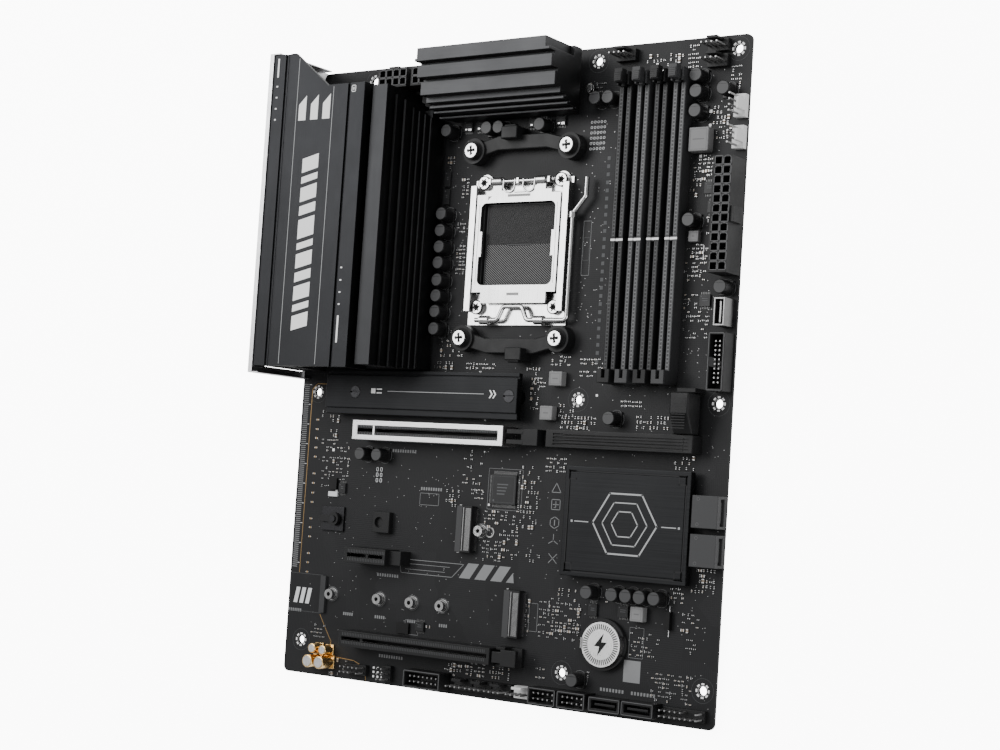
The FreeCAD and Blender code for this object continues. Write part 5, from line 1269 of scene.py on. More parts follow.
@dataclass
class RearCover(Assembly):
    """The brushed cover over the ports, with its lines, dots and slanted bars."""

    line_w: float = 0.28
    bar_w: float = 1.0

    def build(self) -> None:
        """Refine the cover and print its marks."""
        self.bench.refine("io_cover", "cover_satin", 0.35)
        _, _, _, _, _, high = self.bench.box("io_cover")
        self.lines(high)
        self.bars(high)

    def lines(self, face: float) -> None:
        """Two thin lines along the cover, and the dots and dashes at both ends."""
        mould = Mould(self.bench, "light_line", "bright_mark")
        height = on(face)
        mould.ribbon([(17.0, 152.0), (17.0, 302.4)], self.line_w, height, finish=0)
        mould.ribbon([(40.0, 152.0), (40.0, 286.9)], self.line_w, height, finish=0)
        for x, first, dots in ((3.4, (294.0, 303.4), (289.4, 283.9, 278.3, 272.8)),
                               (52.4, (162.4, 175.4), (198.4, 192.4, 186.6, 180.8))):
            mould.slab((x - self.bar_w / 2, x + self.bar_w / 2), first, height, 1)
            for y in dots:
                mould.slab((x - 0.55, x + 0.55), (y - 0.35, y + 0.35), height, 1)
        mould.frame((51.4, 53.6), (283.6, 286.6), 0.35, height, 1)
        mould.slab((52.2, 52.8), (284.4, 285.8), height, 1)
        mould.cast("cover_lines", "board", "cover_black")

    def bars(self, face: float) -> None:
        """A plain run of slanted bars and three equal blocks, in place of any name."""
        mould = Mould(self.bench, "bright_mark")
        height = on(face)
        y = 168.0
        for length in (7.0, 3.2, 7.0, 4.6, 7.0, 3.2, 9.4, 4.6, 7.0, 3.2, 7.0):
            mould.prism([(23.4, y), (33.4, y + 2.4), (33.4, y + 2.4 + length), (23.4, y + length)], *height)
            y += length + 2.1
        for step in range(3):
            x = 18.6 + step * 7.6
            mould.prism([(x, 271.4), (x + 4.6, 271.4), (x + 4.6, 283.6), (x, 279.2)], *height)
        mould.cast("cover_bars", "board", "cover_black")


@dataclass
class RearPorts(Assembly):
    """The port block: shells, jacks, aerial posts and the punched shield."""

    def build(self) -> None:
        """Dress the ports and add the parts seen in their mouths."""
        bench = self.bench
        for node in ("usb_ports", "network_port", "video_ports"):
            bench.dress(node, "shield_steel")
        bench.dress("io_shield", "shield_steel")
        bench.refine("audio_jacks", "black_nylon", 0.15)
        bench.dress("antenna_posts", "gilt")
        bench.refine("button_case", "black_nylon", 0.2)
        bench.refine("firmware_button", "white_nylon", 0.3)
        self.mouths()
        self.shield_lip()
        self.jack_rings()

    def mouths(self) -> None:
        """Contacts on the tongues of the flat sockets, and the network socket's comb."""
        starts = []
        for low, high in self.bench.solids("usb_ports"):
            middle = (low.y + high.y) / 2
            for level in range(4 if high.z > 28 else 2):
                starts.append((1.4, middle - 3.6, 5.0 + level * 7.2 - 0.62))
        self.repeats.rows.cast("socket_contacts", starts, 4, (0.0, 2.4, 0.0), (5.0, 0.9, 0.12), "gilt",
                               "gilt")
        _, _, y0, y1, _, high = self.bench.box("network_port")
        starts = [(2.0, (y0 + y1) / 2 - 3.5, high - 7.0)]
        self.repeats.rows.cast("network_contacts", starts, 8, (0.0, 1.0, 0.0), (6.0, 0.4, 0.3), "gilt",
                               "gilt")

    def shield_lip(self) -> None:
        """Bright folded edge and spring fingers along the port shield."""
        x0, _, y0, _, _, high = self.bench.box("io_shield")
        mould = Mould(self.bench, "bright_steel")
        mould.slab((x0 + 0.5, x0 + 1.3), (y0 + 3.2, y0 + 9.6), (high - 11.0, high - 1.2))
        mould.slab((x0 + 1.3, x0 + 13.0), (y0 + 3.4, y0 + 5.4), (high - 3.2, high - 2.4))
        mould.cast("shield_corner", "board", "bright_steel", 0.08)
        starts = [(x0 + 1.0, y0 + 14.0, high - 1.0)]
        self.repeats.rows.cast("shield_fingers", starts, 12, (0.0, 11.4, 0.0), (1.2, 5.0, 0.3),
                               "bright_steel",
                               "bright_steel")

    def jack_rings(self) -> None:
        """A steel ring in the mouth of each sound jack and a thread on each aerial post."""
        x0, _, y0, y1, _, _ = self.bench.box("audio_jacks")
        mould = Mould(self.bench, "shield_steel", "gilt")
        for y in (y0 + 6.5, y1 - 6.5):
            for z in (7.2, 18.4, 29.6):
                mould.tube([(x0 - 0.02 + 0.25, y + 2.6 * math.cos(t), z + 2.6 * math.sin(t))
                            for t in (2 * math.pi * step / 28 for step in range(29))], 0.32, 8)
        ax0, _, ay0, ay1, _, _ = self.bench.box("antenna_posts")
        for z in (10.6, 24.6):
            for step in range(8):
                x = ax0 + 1.0 + step * 0.9
                mould.tube([(x, (ay0 + ay1) / 2 + 3.15 * math.cos(t), z + 3.15 * math.sin(t))
                            for t in (2 * math.pi * part / 28 for part in range(29))], 0.18, 6, 1)
        mould.cast("jack_rings", "board", "bright_steel")


# ------------------------------------------------------------------ memory


@dataclass
class MemoryBank(Assembly):
    """Four memory slots with ladder rails, key marks and latches."""

    pitch: float = 1.7
    rail: float = 1.9
    key_y: float = 213.3

    def build(self) -> None:
        """Refine the slots and lay their ladders."""
        for index in range(1, 5):
            pale = index % 2 == 0
            finish = "grey_nylon" if pale else "black_nylon"
            self.bench.refine(f"dimm_slot_{index}", finish, 0.22)
            self.bench.refine(f"dimm_latch_{index}", finish, 0.32)
            self.ladders(index, pale)
            self.latch_grip(index, finish)
        self.key_marks()

    def ladders(self, index: int, pale: bool) -> None:
        """The two rails of one slot, with a window for each contact.

        Args:
            index: Which slot.
            pale: Whether the slot is one of the grey ones.
        """
        x0, x1, y0, y1, _, _ = self.bench.box(f"dimm_slot_{index}")
        cx = (x0 + x1) / 2
        low, high = y0 + 6.6, y1 - 6.6
        face = 8.0
        mould = Mould(self.bench, "rail_pale" if pale else "rail_dark")
        starts_low = []
        starts_high = []
        for side in (-1, 1):
            x = cx + side * self.rail
            for part in ((low, self.key_y - 1.4), (self.key_y + 1.4, high)):
                for edge in (-0.62, 0.62):
                    mould.slab((x + edge - 0.13, x + edge + 0.13), part, (face - 0.05, face + 0.06))
            starts_low.append((x, low + 0.5, face + 0.015))
            starts_high.append((x, self.key_y + 2.0, face + 0.015))
        mould.cast(f"slot_{index}_rails", "board", "grey_plastic" if pale else "black_plastic")
        slot = "grey_plastic" if pale else "black_plastic"
        tone = "rail_pale" if pale else "rail_dark"
        below = int((self.key_y - 1.9 - low) / self.pitch)
        above = int((high - self.key_y - 2.2) / self.pitch)
        size = (1.1, 0.6, 0.09)
        step = (0.0, self.pitch, 0.0)
        self.repeats.rows.cast(f"slot_{index}_lower_ladder", starts_low, below, step, size, tone, slot)
        self.repeats.rows.cast(f"slot_{index}_upper_ladder", starts_high, above, step, size, tone, slot)

    def latch_grip(self, index: int, finish: str) -> None:
        """Ribs on the thumb rest of one latch."""
        x0, x1, y0, _, _, high = self.bench.box(f"dimm_latch_{index}")
        starts = [((x0 + x1) / 2, y0 + 1.6, high + 0.06)]
        slot = "grey_plastic" if index % 2 == 0 else "black_plastic"
        self.repeats.rows.cast(f"latch_{index}_grip", starts, 5, (0.0, 0.9, 0.0), (x1 - x0 - 0.9, 0.32, 0.24),
                               finish, slot, f"memory_latch_{index}")

    def key_marks(self) -> None:
        """White bars beside the keys of all four slots."""
        mould = Mould(self.bench, "bright_mark")
        for index in range(1, 5):
            x0, x1, _, _, _, _ = self.bench.box(f"dimm_slot_{index}")
            cx = (x0 + x1) / 2
            mould.slab((x0 + 0.1, cx - 0.9), (self.key_y - 0.5, self.key_y + 0.5), (7.99, 8.09))
            mould.slab((cx + 0.9, x1 - 0.1), (self.key_y - 0.5, self.key_y + 0.5), (7.99, 8.09))
            mould.slab((cx - 0.85, cx + 0.85), (self.key_y - 0.5, self.key_y + 0.5), (7.58, 7.7))
        mould.cast("slot_key_marks", "board", "white_plastic")


# ------------------------------------------------------------------ expansion


@dataclass
class ExpansionSlots(Assembly):
    """The three card slots, the first one's steel sleeve, and the release rail."""

    pitch: float = 1.0

    def build(self) -> None:
        """Refine the slots and add their contacts and ribs."""
        bench = self.bench
        bench.refine("pcie_slot_sleeve", "sleeve_steel", 0.2)
        for node in ("pcie_slot_first", "pcie_slot_short", "pcie_slot_last"):
            bench.refine(node, "black_nylon", 0.18)
            self.contacts(node)
        bench.refine("pcie_latch_first", "black_nylon", 0.3)
        bench.refine("pcie_latch_last", "black_nylon", 0.3)
        bench.refine("pcie_release_rail", "black_nylon", 0.4)
        bench.refine("pcie_release_button", "black_nylon", 0.7)
        self.rail_ribs()
        self.sleeve_key()

    def contacts(self, node: str) -> None:
        """A ladder of contact windows along both sides of one slot's groove.

        Args:
            node: The slot.
        """
        x0, x1, _, _, _, _ = self.bench.box(node)
        middle = {"pcie_slot_first": 122.4, "pcie_slot_short": 61.4, "pcie_slot_last": 21.1}
        y = middle[node]
        length = 85.0 if x1 - x0 > 60 else 23.0
        first = node == "pcie_slot_first"
        height = 11.27 if not first else 11.24
        starts = [(45.6, y + side * (2.0 if not first else 1.55), height) for side in (-1, 1)]
        wide = 1.5 if not first else 0.9
        self.repeats.rows.cast(node + "_ladder", starts, int(length), (self.pitch, 0.0, 0.0), (0.38, wide,
                                                                                               0.08),
                               "rail_dark", "black_plastic")
        inner = [(45.6, y + side * 0.86, 9.4) for side in (-1, 1)]
        self.repeats.rows.cast(node + "_contacts", inner, int(length), (self.pitch, 0.0, 0.0), (0.42, 0.12,
                                                                                                2.4),
                               "lead_grey", "tin")

    def rail_ribs(self) -> None:
        """Long ribs on the release rail, and short ones on its button."""
        x0, x1, _, _, _, _ = self.bench.box("pcie_release_rail")
        starts = [((x0 + 9.0 + x1 - 4.0) / 2, 119.6, 9.1)]
        self.repeats.rows.cast("rail_ribs", starts, 5, (0.0, 1.3, 0.0), (x1 - x0 - 14.0, 0.5, 0.24),
                               "black_nylon",
                               "black_plastic")
        bx0, bx1, by0, _, _, high = self.bench.box("pcie_release_button")
        starts = [((bx0 + bx1) / 2, by0 + 2.4, high + 0.05)]
        self.repeats.rows.cast("button_ribs", starts, 12, (0.0, 1.2, 0.0), (bx1 - bx0 - 2.4, 0.4, 0.22),
                               "black_nylon", "black_plastic", "release_button")

    def sleeve_key(self) -> None:
        """The bright bridge over the first slot's key, and thin seams along its sleeve."""
        x0, x1, y0, y1, _, high = self.bench.box("pcie_slot_sleeve")
        y = (y0 + y1) / 2
        mould = Mould(self.bench, "sleeve_steel", "shield_steel")
        mould.slab((x0 + 12.7, x0 + 13.7), (y - 2.4, y + 2.4), (high - 0.5, high + 0.02))
        starts = [(x0 + 2.6, y + side * 1.75, high - 0.12) for side in (-1, 1)]
        self.repeats.rows.cast("sleeve_teeth", starts, 84, (1.0, 0.0, 0.0), (0.45, 0.7, 0.14), "cell_line",
                               "black_plastic")
        for side in (-1, 1):
            mould.slab((x0 + 0.6, x1 - 0.6), (y + side * 4.0 - 0.06, y + side * 4.0 + 0.06), on(high), 1)
        mould.cast("sleeve_bridge", "board", "bright_steel")


# ------------------------------------------------------------------ M.2 sites


@dataclass
class StorageSites(Assembly):
    """The three M.2 sites: sockets, stand-offs, the swivel latch and the long heatsink."""

    def build(self) -> None:
        """Refine the parts of the M.2 sites."""
        bench = self.bench
        bench.refine("m2_sockets", "black_nylon", 0.15)
        bench.refine("m2_standoffs", "bright_steel", 0.25)
        bench.refine("m2_latch_base", "screw_dark", 0.15)
        bench.refine("m2_latch", "black_nylon", 0.2)
        bench.refine("m2_support_block", "black_nylon", 0.3)
        bench.refine("m2_heatsink", "lid_satin", 0.3)
        bench.refine("m2_heatsink_screws", "screw_dark", 0.15)
        self.socket_rows()
        self.heatsink_marks()
        self.standoff_rings()

    def socket_rows(self) -> None:
        """The grey backs, contact rows and solder feet of the three sockets."""
        starts = []
        feet = []
        mould = Mould(self.bench, "pale_grey_nylon", "dull_tin")
        for low, high in self.bench.solids("m2_sockets"):
            mould.slab((low.x + 0.2, low.x + 3.4), (low.y + 0.2, high.y - 0.2), (high.z - 0.02,
                                                                                 high.z + 0.1), 0)
            mould.slab((low.x + 3.9, low.x + 4.25), (low.y + 0.8, high.y - 0.8), (high.z - 0.3,
                                                                                  high.z + 0.06), 1)
            starts.append((high.x - 2.0, low.y + 1.2, high.z + 0.02))
            feet.append((high.x + 0.45, low.y + 1.2, 0.1))
            for y in (low.y + 0.5, high.y - 0.5):
                mould.slab((low.x - 1.2, low.x), (y - 0.9, y + 0.9), (0.0, 0.2), 1)
        mould.cast("m2_socket_backs", "board", "pale_grey_plastic")
        self.repeats.rows.cast("m2_contacts", starts, 40, (0.0, 0.5, 0.0), (3.0, 0.22, 0.1), "dull_tin",
                               "tin")
        self.repeats.rows.cast("m2_feet", feet, 40, (0.0, 0.5, 0.0), (0.9, 0.24, 0.16), "tin", "tin")

    def heatsink_marks(self) -> None:
        """The line, the twin arrow and the slots on the long heatsink."""
        _, _, _, _, _, high = self.bench.box("m2_heatsink")
        mould = Mould(self.bench, "light_line", "bright_mark", "deep_black")
        height = on(high)
        mould.ribbon([(61.4, 141.8), (118.3, 141.8)], 0.3, height, finish=0)
        mould.slab((51.2, 53.8), (140.6, 143.0), height, 1)
        mould.slab((54.6, 57.8), (140.6, 141.2), height, 1)
        mould.slab((54.6, 57.8), (142.4, 143.0), height, 1)
        for x in (121.4, 123.4):
            mould.prism([(x, 139.9), (x + 0.8, 139.9), (x + 2.1, 141.8), (x + 0.8, 143.7), (x, 143.7),
                         (x + 1.3, 141.8)], *height, 1)
        for x in (41.2, 132.6):
            mould.ring(x, 141.1, (high - 0.01, high + 0.04), (3.02, 3.25), 40, 2)
        mould.cast("m2_sink_marks", "board", "anodised_black")

    def standoff_rings(self) -> None:
        """Printed rings and pads round the stand-off posts."""
        mould = Mould(self.bench, "grey_print", "dull_tin")
        for x, y, low, high in self.bench.middles("m2_standoffs"):
            mould.ring(x, y, (0.0, 0.04), (2.7, 3.1), 36, 1)
            mould.ring(x, y, PRINT, (3.5, 3.62), 40, 0)
        mould.ring(120.6, 77.4, (0.0, 0.04), (1.9, 2.6), 36, 1)
        mould.cast("standoff_rings", "board", "board_laminate")


@dataclass
class ChipsetCooler(Assembly):
    """The square brushed lid over the chipset, with its border and a plain emblem."""

    line: float = 0.75

    def build(self) -> None:
        """Refine the lid and lay its border and lines."""
        self.bench.refine("chipset_heatsink", "lid_satin", 0.3)
        x0, x1, y0, y1, _, high = self.bench.box("chipset_heatsink")
        mould = Mould(self.bench, "lid_groove", "light_line")
        height = on(high)
        inset = 2.1
        mould.frame((x0 + inset, x1 - inset), (y0 + inset, y1 - inset), 0.6, height, 0)
        for x in (x0 + inset + 1.9, x1 - inset - 1.9):
            for y in (y0 + inset + 1.9, y1 - inset - 1.9):
                mould.frame((x - 1.8, x + 1.8), (y - 1.8, y + 1.8), 0.45, height, 0)
        self.emblem(mould, (x0 + x1) / 2, (y0 + y1) / 2, height)
        mould.cast("lid_marks", "board", "anodised_black")

    def emblem(self, mould: Mould, cx: float, cy: float, height: Pair) -> None:
        """Nested hexagons with a plain bar across them.

        Args:
            mould: The piece that the lines belong to.
            cx: Middle of the lid across.
            cy: Middle of the lid along.
            height: Heights of the lines' faces.
        """
        for reach in (16.5, 11.6, 6.8):
            points = [(cx + reach * math.cos(math.radians(60 * step)),
                       cy + reach * 0.94 * math.sin(math.radians(60 * step)))
                      for step in range(6)]
            mould.ribbon(points, self.line * (0.7 if reach < 12 else 1.0), height, True, 1)
        for side in (-1, 1):
            mould.ribbon([(cx + side * 19.0, cy), (cx + side * 26.0, cy)], self.line * 0.6, height, finish=1)
            mould.slab((cx + side * 27.6 - 0.5, cx + side * 27.6 + 0.5), (cy - 0.5, cy + 0.5), height, 1)


# ------------------------------------------------------------------ connectors


@dataclass
class PowerInlets(Assembly):
    """The main and the processor power sockets, with outlined cells and pins."""

    pitch: float = 4.2

    def build(self) -> None:
        """Refine the sockets and outline their cells."""
        self.bench.refine("power_sockets", "black_nylon", 0.16)
        mould = Mould(self.bench, "cell_line")
        pins = []
        for low, high in self.bench.solids("power_sockets"):
            columns, rows = (2, 12) if high.y - low.y > 30 else (4, 2)
            for column in range(columns):
                for row in range(rows):
                    x = low.x + 0.8 + self.pitch * (column + 0.5)
                    y = low.y + 0.8 + self.pitch * (row + 0.5)
                    pins.append((x, y, 6.4))
                    self.outline(mould, x, y, high.z, (row + column + row // 2) % 2 == 0)
        mould.cast("cell_outlines", "board", "black_plastic")
        self.repeats.copies.cast("socket_pins", pins, [0.0] * len(pins), (1.1, 1.1, 6.0), (0.3, 0.3, 6.6),
                                 0.5,
                                 ("dull_tin", "dull_tin"), "tin")

    def outline(self, mould: Mould, x: float, y: float, face: float, square: bool) -> None:
        """A thin line round one cell, square or with two cut corners.

        Args:
            mould: The piece that the lines belong to.
            x: Middle of the cell across.
            y: Middle of the cell along.
            face: Height of the socket's top.
            square: Whether all four corners are square.
        """
        half = 1.86
        cut = 0.0 if square else 1.0
        points = [(x - half, y - half), (x + half, y - half), (x + half, y + half - cut), (x + half - cut,
                                                                                           y + half),
                  (x - half + cut, y + half), (x - half, y + half - cut)]
        mould.ribbon(points, 0.3, (face - 0.05, face + 0.05), True)


@dataclass
class EdgeHeaders(Assembly):
    """Pin, fan, light and boxed headers, and the drive sockets."""

    pitch: float = 2.54

    def build(self) -> None:
        """Refine the headers and plate their pins."""
        bench = self.bench
        bench.refine("pin_headers", "black_nylon", 0.12)
        bench.refine("light_headers", "white_nylon", 0.12)
        bench.refine("box_headers", "black_nylon", 0.16)
        bench.refine("usb_c_header", "shell_dark", 0.16)
        bench.refine("sata_edge_sockets", "pale_grey_nylon", 0.28)
        bench.refine("sata_upright_sockets", "black_nylon", 0.18)
        self.pins()
        self.rim_highlights()

    def pins(self) -> None:
        """Plated pins in the fan, light, panel and boxed headers."""
        rows: dict[Along, list[Triple]] = {Along.X: [], Along.Y: []}
        for node in ("pin_headers", "light_headers"):
            for cx, cy, low, high in self.bench.middles(node):
                if high.z < 10:
                    continue
                if high.x - low.x > high.y - low.y:
                    rows[Along.X].append((cx - 1.5 * self.pitch, cy - 0.6, 7.7))
                else:
                    rows[Along.Y].append((cx - 0.6, cy - 1.5 * self.pitch, 7.7))
        size = (0.7, 0.7, 8.8)
        self.repeats.rows.cast("fan_pins", rows[Along.X], 4, (self.pitch, 0.0, 0.0), size, "dull_tin", "tin")
        self.repeats.rows.cast("light_pins", rows[Along.Y], 4, (0.0, self.pitch, 0.0), size, "dull_tin",
                               "tin")
        fields = ((230.24, 5.6, 8, 2, {(5, 1), (6, 1)}), (48.0, 5.6, 5, 2, {(3, 0)}),
                  (67.0, 5.6, 2, 3, set()))
        points = []
        for x, y, columns, lines, skipped in fields:
            for column in range(columns):
                for line in range(lines):
                    if (column, line) not in skipped:
                        points.append((x + (column - (columns - 1) / 2) * self.pitch,
                                                    y + (line - (lines - 1) / 2) * self.pitch, 5.6))
        for cx, cy, low, high in self.bench.middles("box_headers"):
            wide = high.x - low.x > high.y - low.y
            span = max(high.x - low.x, high.y - low.y)
            step = 2.0 if not wide else self.pitch
            count = 10 if not wide else (7 if span > 20 else 5)
            for index in range(count):
                for side in (-0.5, 0.5):
                    along = (index - (count - 1) / 2) * step
                    x, y = (cx + along, cy + side * step) if wide else (cx + side * step, cy + along)
                    points.append((x, y, 4.6))
        self.repeats.copies.cast("header_pins", points, [0.0] * len(points), (0.7, 0.7, 5.7), (0.3, 0.5,
                                                                                               5.9), 0.3,
                                 ("dull_tin", "dull_tin"), "tin")

    def rim_highlights(self) -> None:
        """Painted highlights: thin light lines just inside the top edges of the boxed headers and the upright
        drive sockets, where light catches those edges, and small light rings on the edge drive sockets.
        """
        mould = Mould(self.bench, "cell_line", "shield_steel")
        for node in ("box_headers", "sata_upright_sockets"):
            for low, high in self.bench.solids(node):
                # Painted highlight: a light line along the top edge of the box.
                mould.frame((low.x + 0.35, high.x - 0.35), (low.y + 0.35, high.y - 0.35), 0.26,
                            (high.z - 0.05, high.z + 0.04))
        for low, high in self.bench.solids("sata_edge_sockets"):
            for y in (low.y + 1.6, high.y - 1.6):
                mould.ring(low.x + 3.0, y, on(high.z), (0.6, 0.75), 24, 0)
        mould.cast("header_rim_highlights", "board", "black_plastic")


# ------------------------------------------------------------------ small parts


@dataclass
class CoinCell(Assembly):
    """The coin battery in its holder, with a ring of ticks and a plain flash sign."""

    def build(self) -> None:
        """Refine the cell and lay its marks."""
        bench = self.bench
        bench.refine("battery", "cell_steel", 0.35)
        bench.refine("battery_holder", "black_nylon", 0.25)
        x0, x1, y0, y1, _, high = bench.box("battery")
        cx, cy = (x0 + x1) / 2, (y0 + y1) / 2
        self.repeats.crowns.cast("cell_ticks", [(cx, cy, high + 0.01)], 48, 7.95, (2.3, 0.5, 0.04),
                                 "stamped_dark", "cell_steel")
        mould = Mould(bench, "deep_black", "bright_steel", "shield_steel")
        bolt = [(cx + 1.5, cy + 5.2), (cx - 3.3, cy - 0.9), (cx - 0.5, cy - 0.9), (cx - 1.5, cy - 5.2),
                (cx + 3.3, cy + 1.1), (cx + 0.5, cy + 1.1)]
        mould.prism(bolt, high, high + 0.035, 0)
        mould.ring(cx, cy, (high, high + 0.02), (6.75, 6.85), 64, 2)
        mould.slab((x0 - 2.4, x0 + 0.6), (cy - 2.4, cy + 2.4), (high, high + 0.5), 1)
        mould.slab((x0 - 2.4, x0 - 1.8), (cy - 2.4, cy + 2.4), (0.0, high + 0.5), 1)
        mould.cast("cell_marks", "board", "cell_steel")


@dataclass
class Cans(Assembly):
    """Polymer capacitors with grey tops, and the gilt ones of the sound section."""

    def build(self) -> None:
        """Refine the cans and cap them."""
        bench = self.bench
        bench.refine("polymer_capacitors", "can_side", 0.3)
        bench.refine("audio_capacitors", "gilt", 0.35)
        mould = Mould(bench, "can_top", "can_side", "grey_print")
        for x, y, low, high in bench.middles("polymer_capacitors"):
            mould.disc(x, y, (high.z - 0.02, high.z + 0.03), 2.82, 32, 0)
            mould.slab((x - 2.1, x + 2.1), (y + 1.5, y + 1.75), (high.z + 0.03, high.z + 0.045), 1)
            mould.ring(x, y, PRINT, (3.95, 4.07), 40, 2)
        mould.cast("can_tops", "board", "can_black")
        mould = Mould(bench, "cell_steel", "gold_trace")
        for x, y, low, high in bench.middles("audio_capacitors"):
            radius = (high.x - low.x) / 2 - 0.75
            mould.disc(x, y, (high.z - 0.02, high.z + 0.03), radius, 32, 0)
            mould.ring(x, y, (high.z * 0.28, high.z * 0.28 + 0.5), (radius + 0.55, radius + 0.62), 36, 1)
        mould.cast("gilt_tops", "board", "gilt")


@dataclass
class ChipField(Assembly):
    """Chips with leads and dots, chokes, and the hundreds of small resistors and capacitors."""

    seed: int = 7
    clear: float = 0.35
    clusters: tuple[tuple[float, float, float, float, float], ...] = (
        (153.1, 292.4, 158.8, 297.8, 0.7), (160.0, 284.1, 170.0, 289.5, 0.8), (152.4, 273.3, 161.9, 283.6,
                                                                               0.8),
        (206.4, 288.4, 210.5, 299.5, 0.9), (213.2, 292.0, 218.5, 302.5, 0.9),
        (227.3, 258.9, 236.4, 273.3, 0.85), (235.2, 281.0, 240.8, 292.4, 0.7), (219.3, 240.7, 227.4, 253.1,
                                                                                0.5),
        (225.8, 242.6, 228.6, 249.9, 0.9), (215.4, 195.6, 228.6, 206.9, 0.6), (217.1, 233.6, 224.6, 241.9,
                                                                               0.5),
        (92.7, 237.3, 96.1, 246.3, 0.9), (90.8, 220.6, 95.6, 226.1, 0.6), (91.5, 200.4, 96.2, 213.8, 0.9),
        (78.7, 247.9, 86.4, 258.2, 0.8), (14.5, 126.8, 26.3, 132.9, 0.5), (18.5, 119.5, 24.0, 123.1, 0.6),
        (15.6, 115.2, 26.6, 118.9, 0.7), (16.8, 94.2, 33.2, 114.8, 0.6), (94.8, 88.7, 101.9, 96.8, 0.7),
        (109.5, 93.0, 116.4, 97.5, 0.9), (118.0, 64.4, 137.9, 88.0, 0.6), (77.2, 154.7, 94.6, 158.2, 0.8),
        (101.8, 152.8, 117.3, 158.5, 0.7), (17.2, 19.0, 25.0, 26.1, 0.5), (29.9, 1.8, 41.0, 9.0, 0.5),
        (100.7, 9.0, 110.5, 14.6, 0.8), (113.2, 10.4, 124.3, 16.0, 0.8), (126.0, 10.4, 138.0, 15.0, 0.6),
        (136.0, 136.3, 144.1, 155.6, 0.8), (140.5, 146.6, 147.2, 152.1, 0.6), (154.2, 133.4, 164.8, 139.1,
                                                                               0.6),
        (157.3, 128.1, 175.6, 133.7, 0.8), (189.0, 138.8, 200.3, 141.5, 0.8), (197.1, 129.4, 213.2, 134.8,
                                                                               0.8),
        (225.0, 134.4, 231.0, 143.0, 0.7), (150.8, 107.7, 160.6, 114.4, 0.7), (135.8, 81.1, 147.9, 109.2,
                                                                               0.55),
        (142.6, 65.7, 150.6, 72.4, 0.6), (157.8, 49.5, 170.8, 56.0, 0.7), (152.1, 31.9, 175.0, 49.3, 0.72),
        (199.0, 28.5, 214.9, 38.0, 0.6), (219.6, 53.4, 225.6, 60.0, 0.7), (229.8, 59.0, 240.4, 68.6, 0.8),
        (226.4, 41.5, 233.4, 48.8, 0.7), (226.9, 32.0, 234.1, 39.3, 0.5), (212.8, 10.0, 233.2, 22.7, 0.62),
        (151.9, 13.2, 155.8, 18.6, 0.9), (177.4, 12.6, 179.9, 19.0, 0.9), (144.0, 33.5, 145.0, 49.0, 0.9),
        (166.0, 152.0, 178.0, 160.0, 0.6), (150.0, 157.0, 160.0, 163.0, 0.5), (216.0, 168.0, 230.0, 190.0,
                                                                               0.45),
        (218.0, 206.0, 230.0, 230.0, 0.4), (84.0, 160.5, 98.0, 172.0, 0.5), (188.0, 291.5, 204.0, 300.0, 0.4),
        (104.0, 96.0, 116.0, 116.0, 0.25), (86.0, 30.0, 92.0, 34.0, 0.6), (218.0, 112.0, 230.0, 117.0, 0.5),
        (180.0, 50.6, 196.0, 56.0, 0.6), (214.0, 262.0, 218.0, 284.0, 0.5), (96.0, 262.0, 104.0, 268.0, 0.6),
    )

    def build(self) -> None:
        """Refine the chips and chokes and set out the small parts."""
        bench = self.bench
        bench.refine("chips", "chip_epoxy", 0.1)
        bench.refine("inductors", "pressed_ferrite", 0.45)
        self.leads()
        self.chip_marks()
        self.stages()
        self.scatter()
        self.vias()
        self.extras()

    def leads(self) -> None:
        """Leads on the four sides of the square chip and on two sides of the small ones."""
        low, high = (120.8, 90.8), (134.8, 104.8)
        palette = ("lead_grey", "lead_grey")
        points, turns = [], []
        count = 22
        for index in range(count):
            shift = (index - (count - 1) / 2) * 0.6
            for side in (-1, 1):
                points.append((127.8 + shift, 97.8 + side * 7.75, 0.16))
                turns.append(QUARTER)
                points.append((127.8 + side * 7.75, 97.8 + shift, 0.16))
                turns.append(0.0)
        for cx, cy, chip_low, chip_high in self.bench.middles("chips"):
            width, depth = chip_high.x - chip_low.x, chip_high.y - chip_low.y
            if chip_high.z > 2.0 or width > 10:
                continue
            for index in range(int(width / 0.8)):
                shift = (index - (int(width / 0.8) - 1) / 2) * 0.8
                for side in (-1, 1):
                    points.append((cx + shift, cy + side * (depth / 2 + 0.35), 0.14))
                    turns.append(QUARTER)
        self.repeats.copies.cast("chip_leads", points, turns, (1.0, 0.22, 0.2), (0.4, 0.24, 0.12), 1.1,
                                 palette, "tin")
        mould = Mould(self.bench, "grey_print", "chip_mark")
        mould.frame((low[0] - 2.6, high[0] + 2.6), (low[1] - 2.6, high[1] + 2.6), 0.16, PRINT)
        mould.frame((low[0] + 0.9, high[0] - 0.9), (low[1] + 0.9, high[1] - 0.9), 0.1, (1.4, 1.42), 1)
        for row in range(4):
            mould.slab((low[0] + 3.4, low[0] + 9.6 - row * 0.6), (high[1] - 5.0 - row * 1.5,
                                                                  high[1] - 4.4 - row * 1.5),
                       (1.4, 1.42), 1)
        mould.disc(low[0] + 1.7, low[1] + 1.7, (1.4, 1.43), 0.5, 20, 1)
        mould.cast("square_chip_marks", "board", "chip_black")

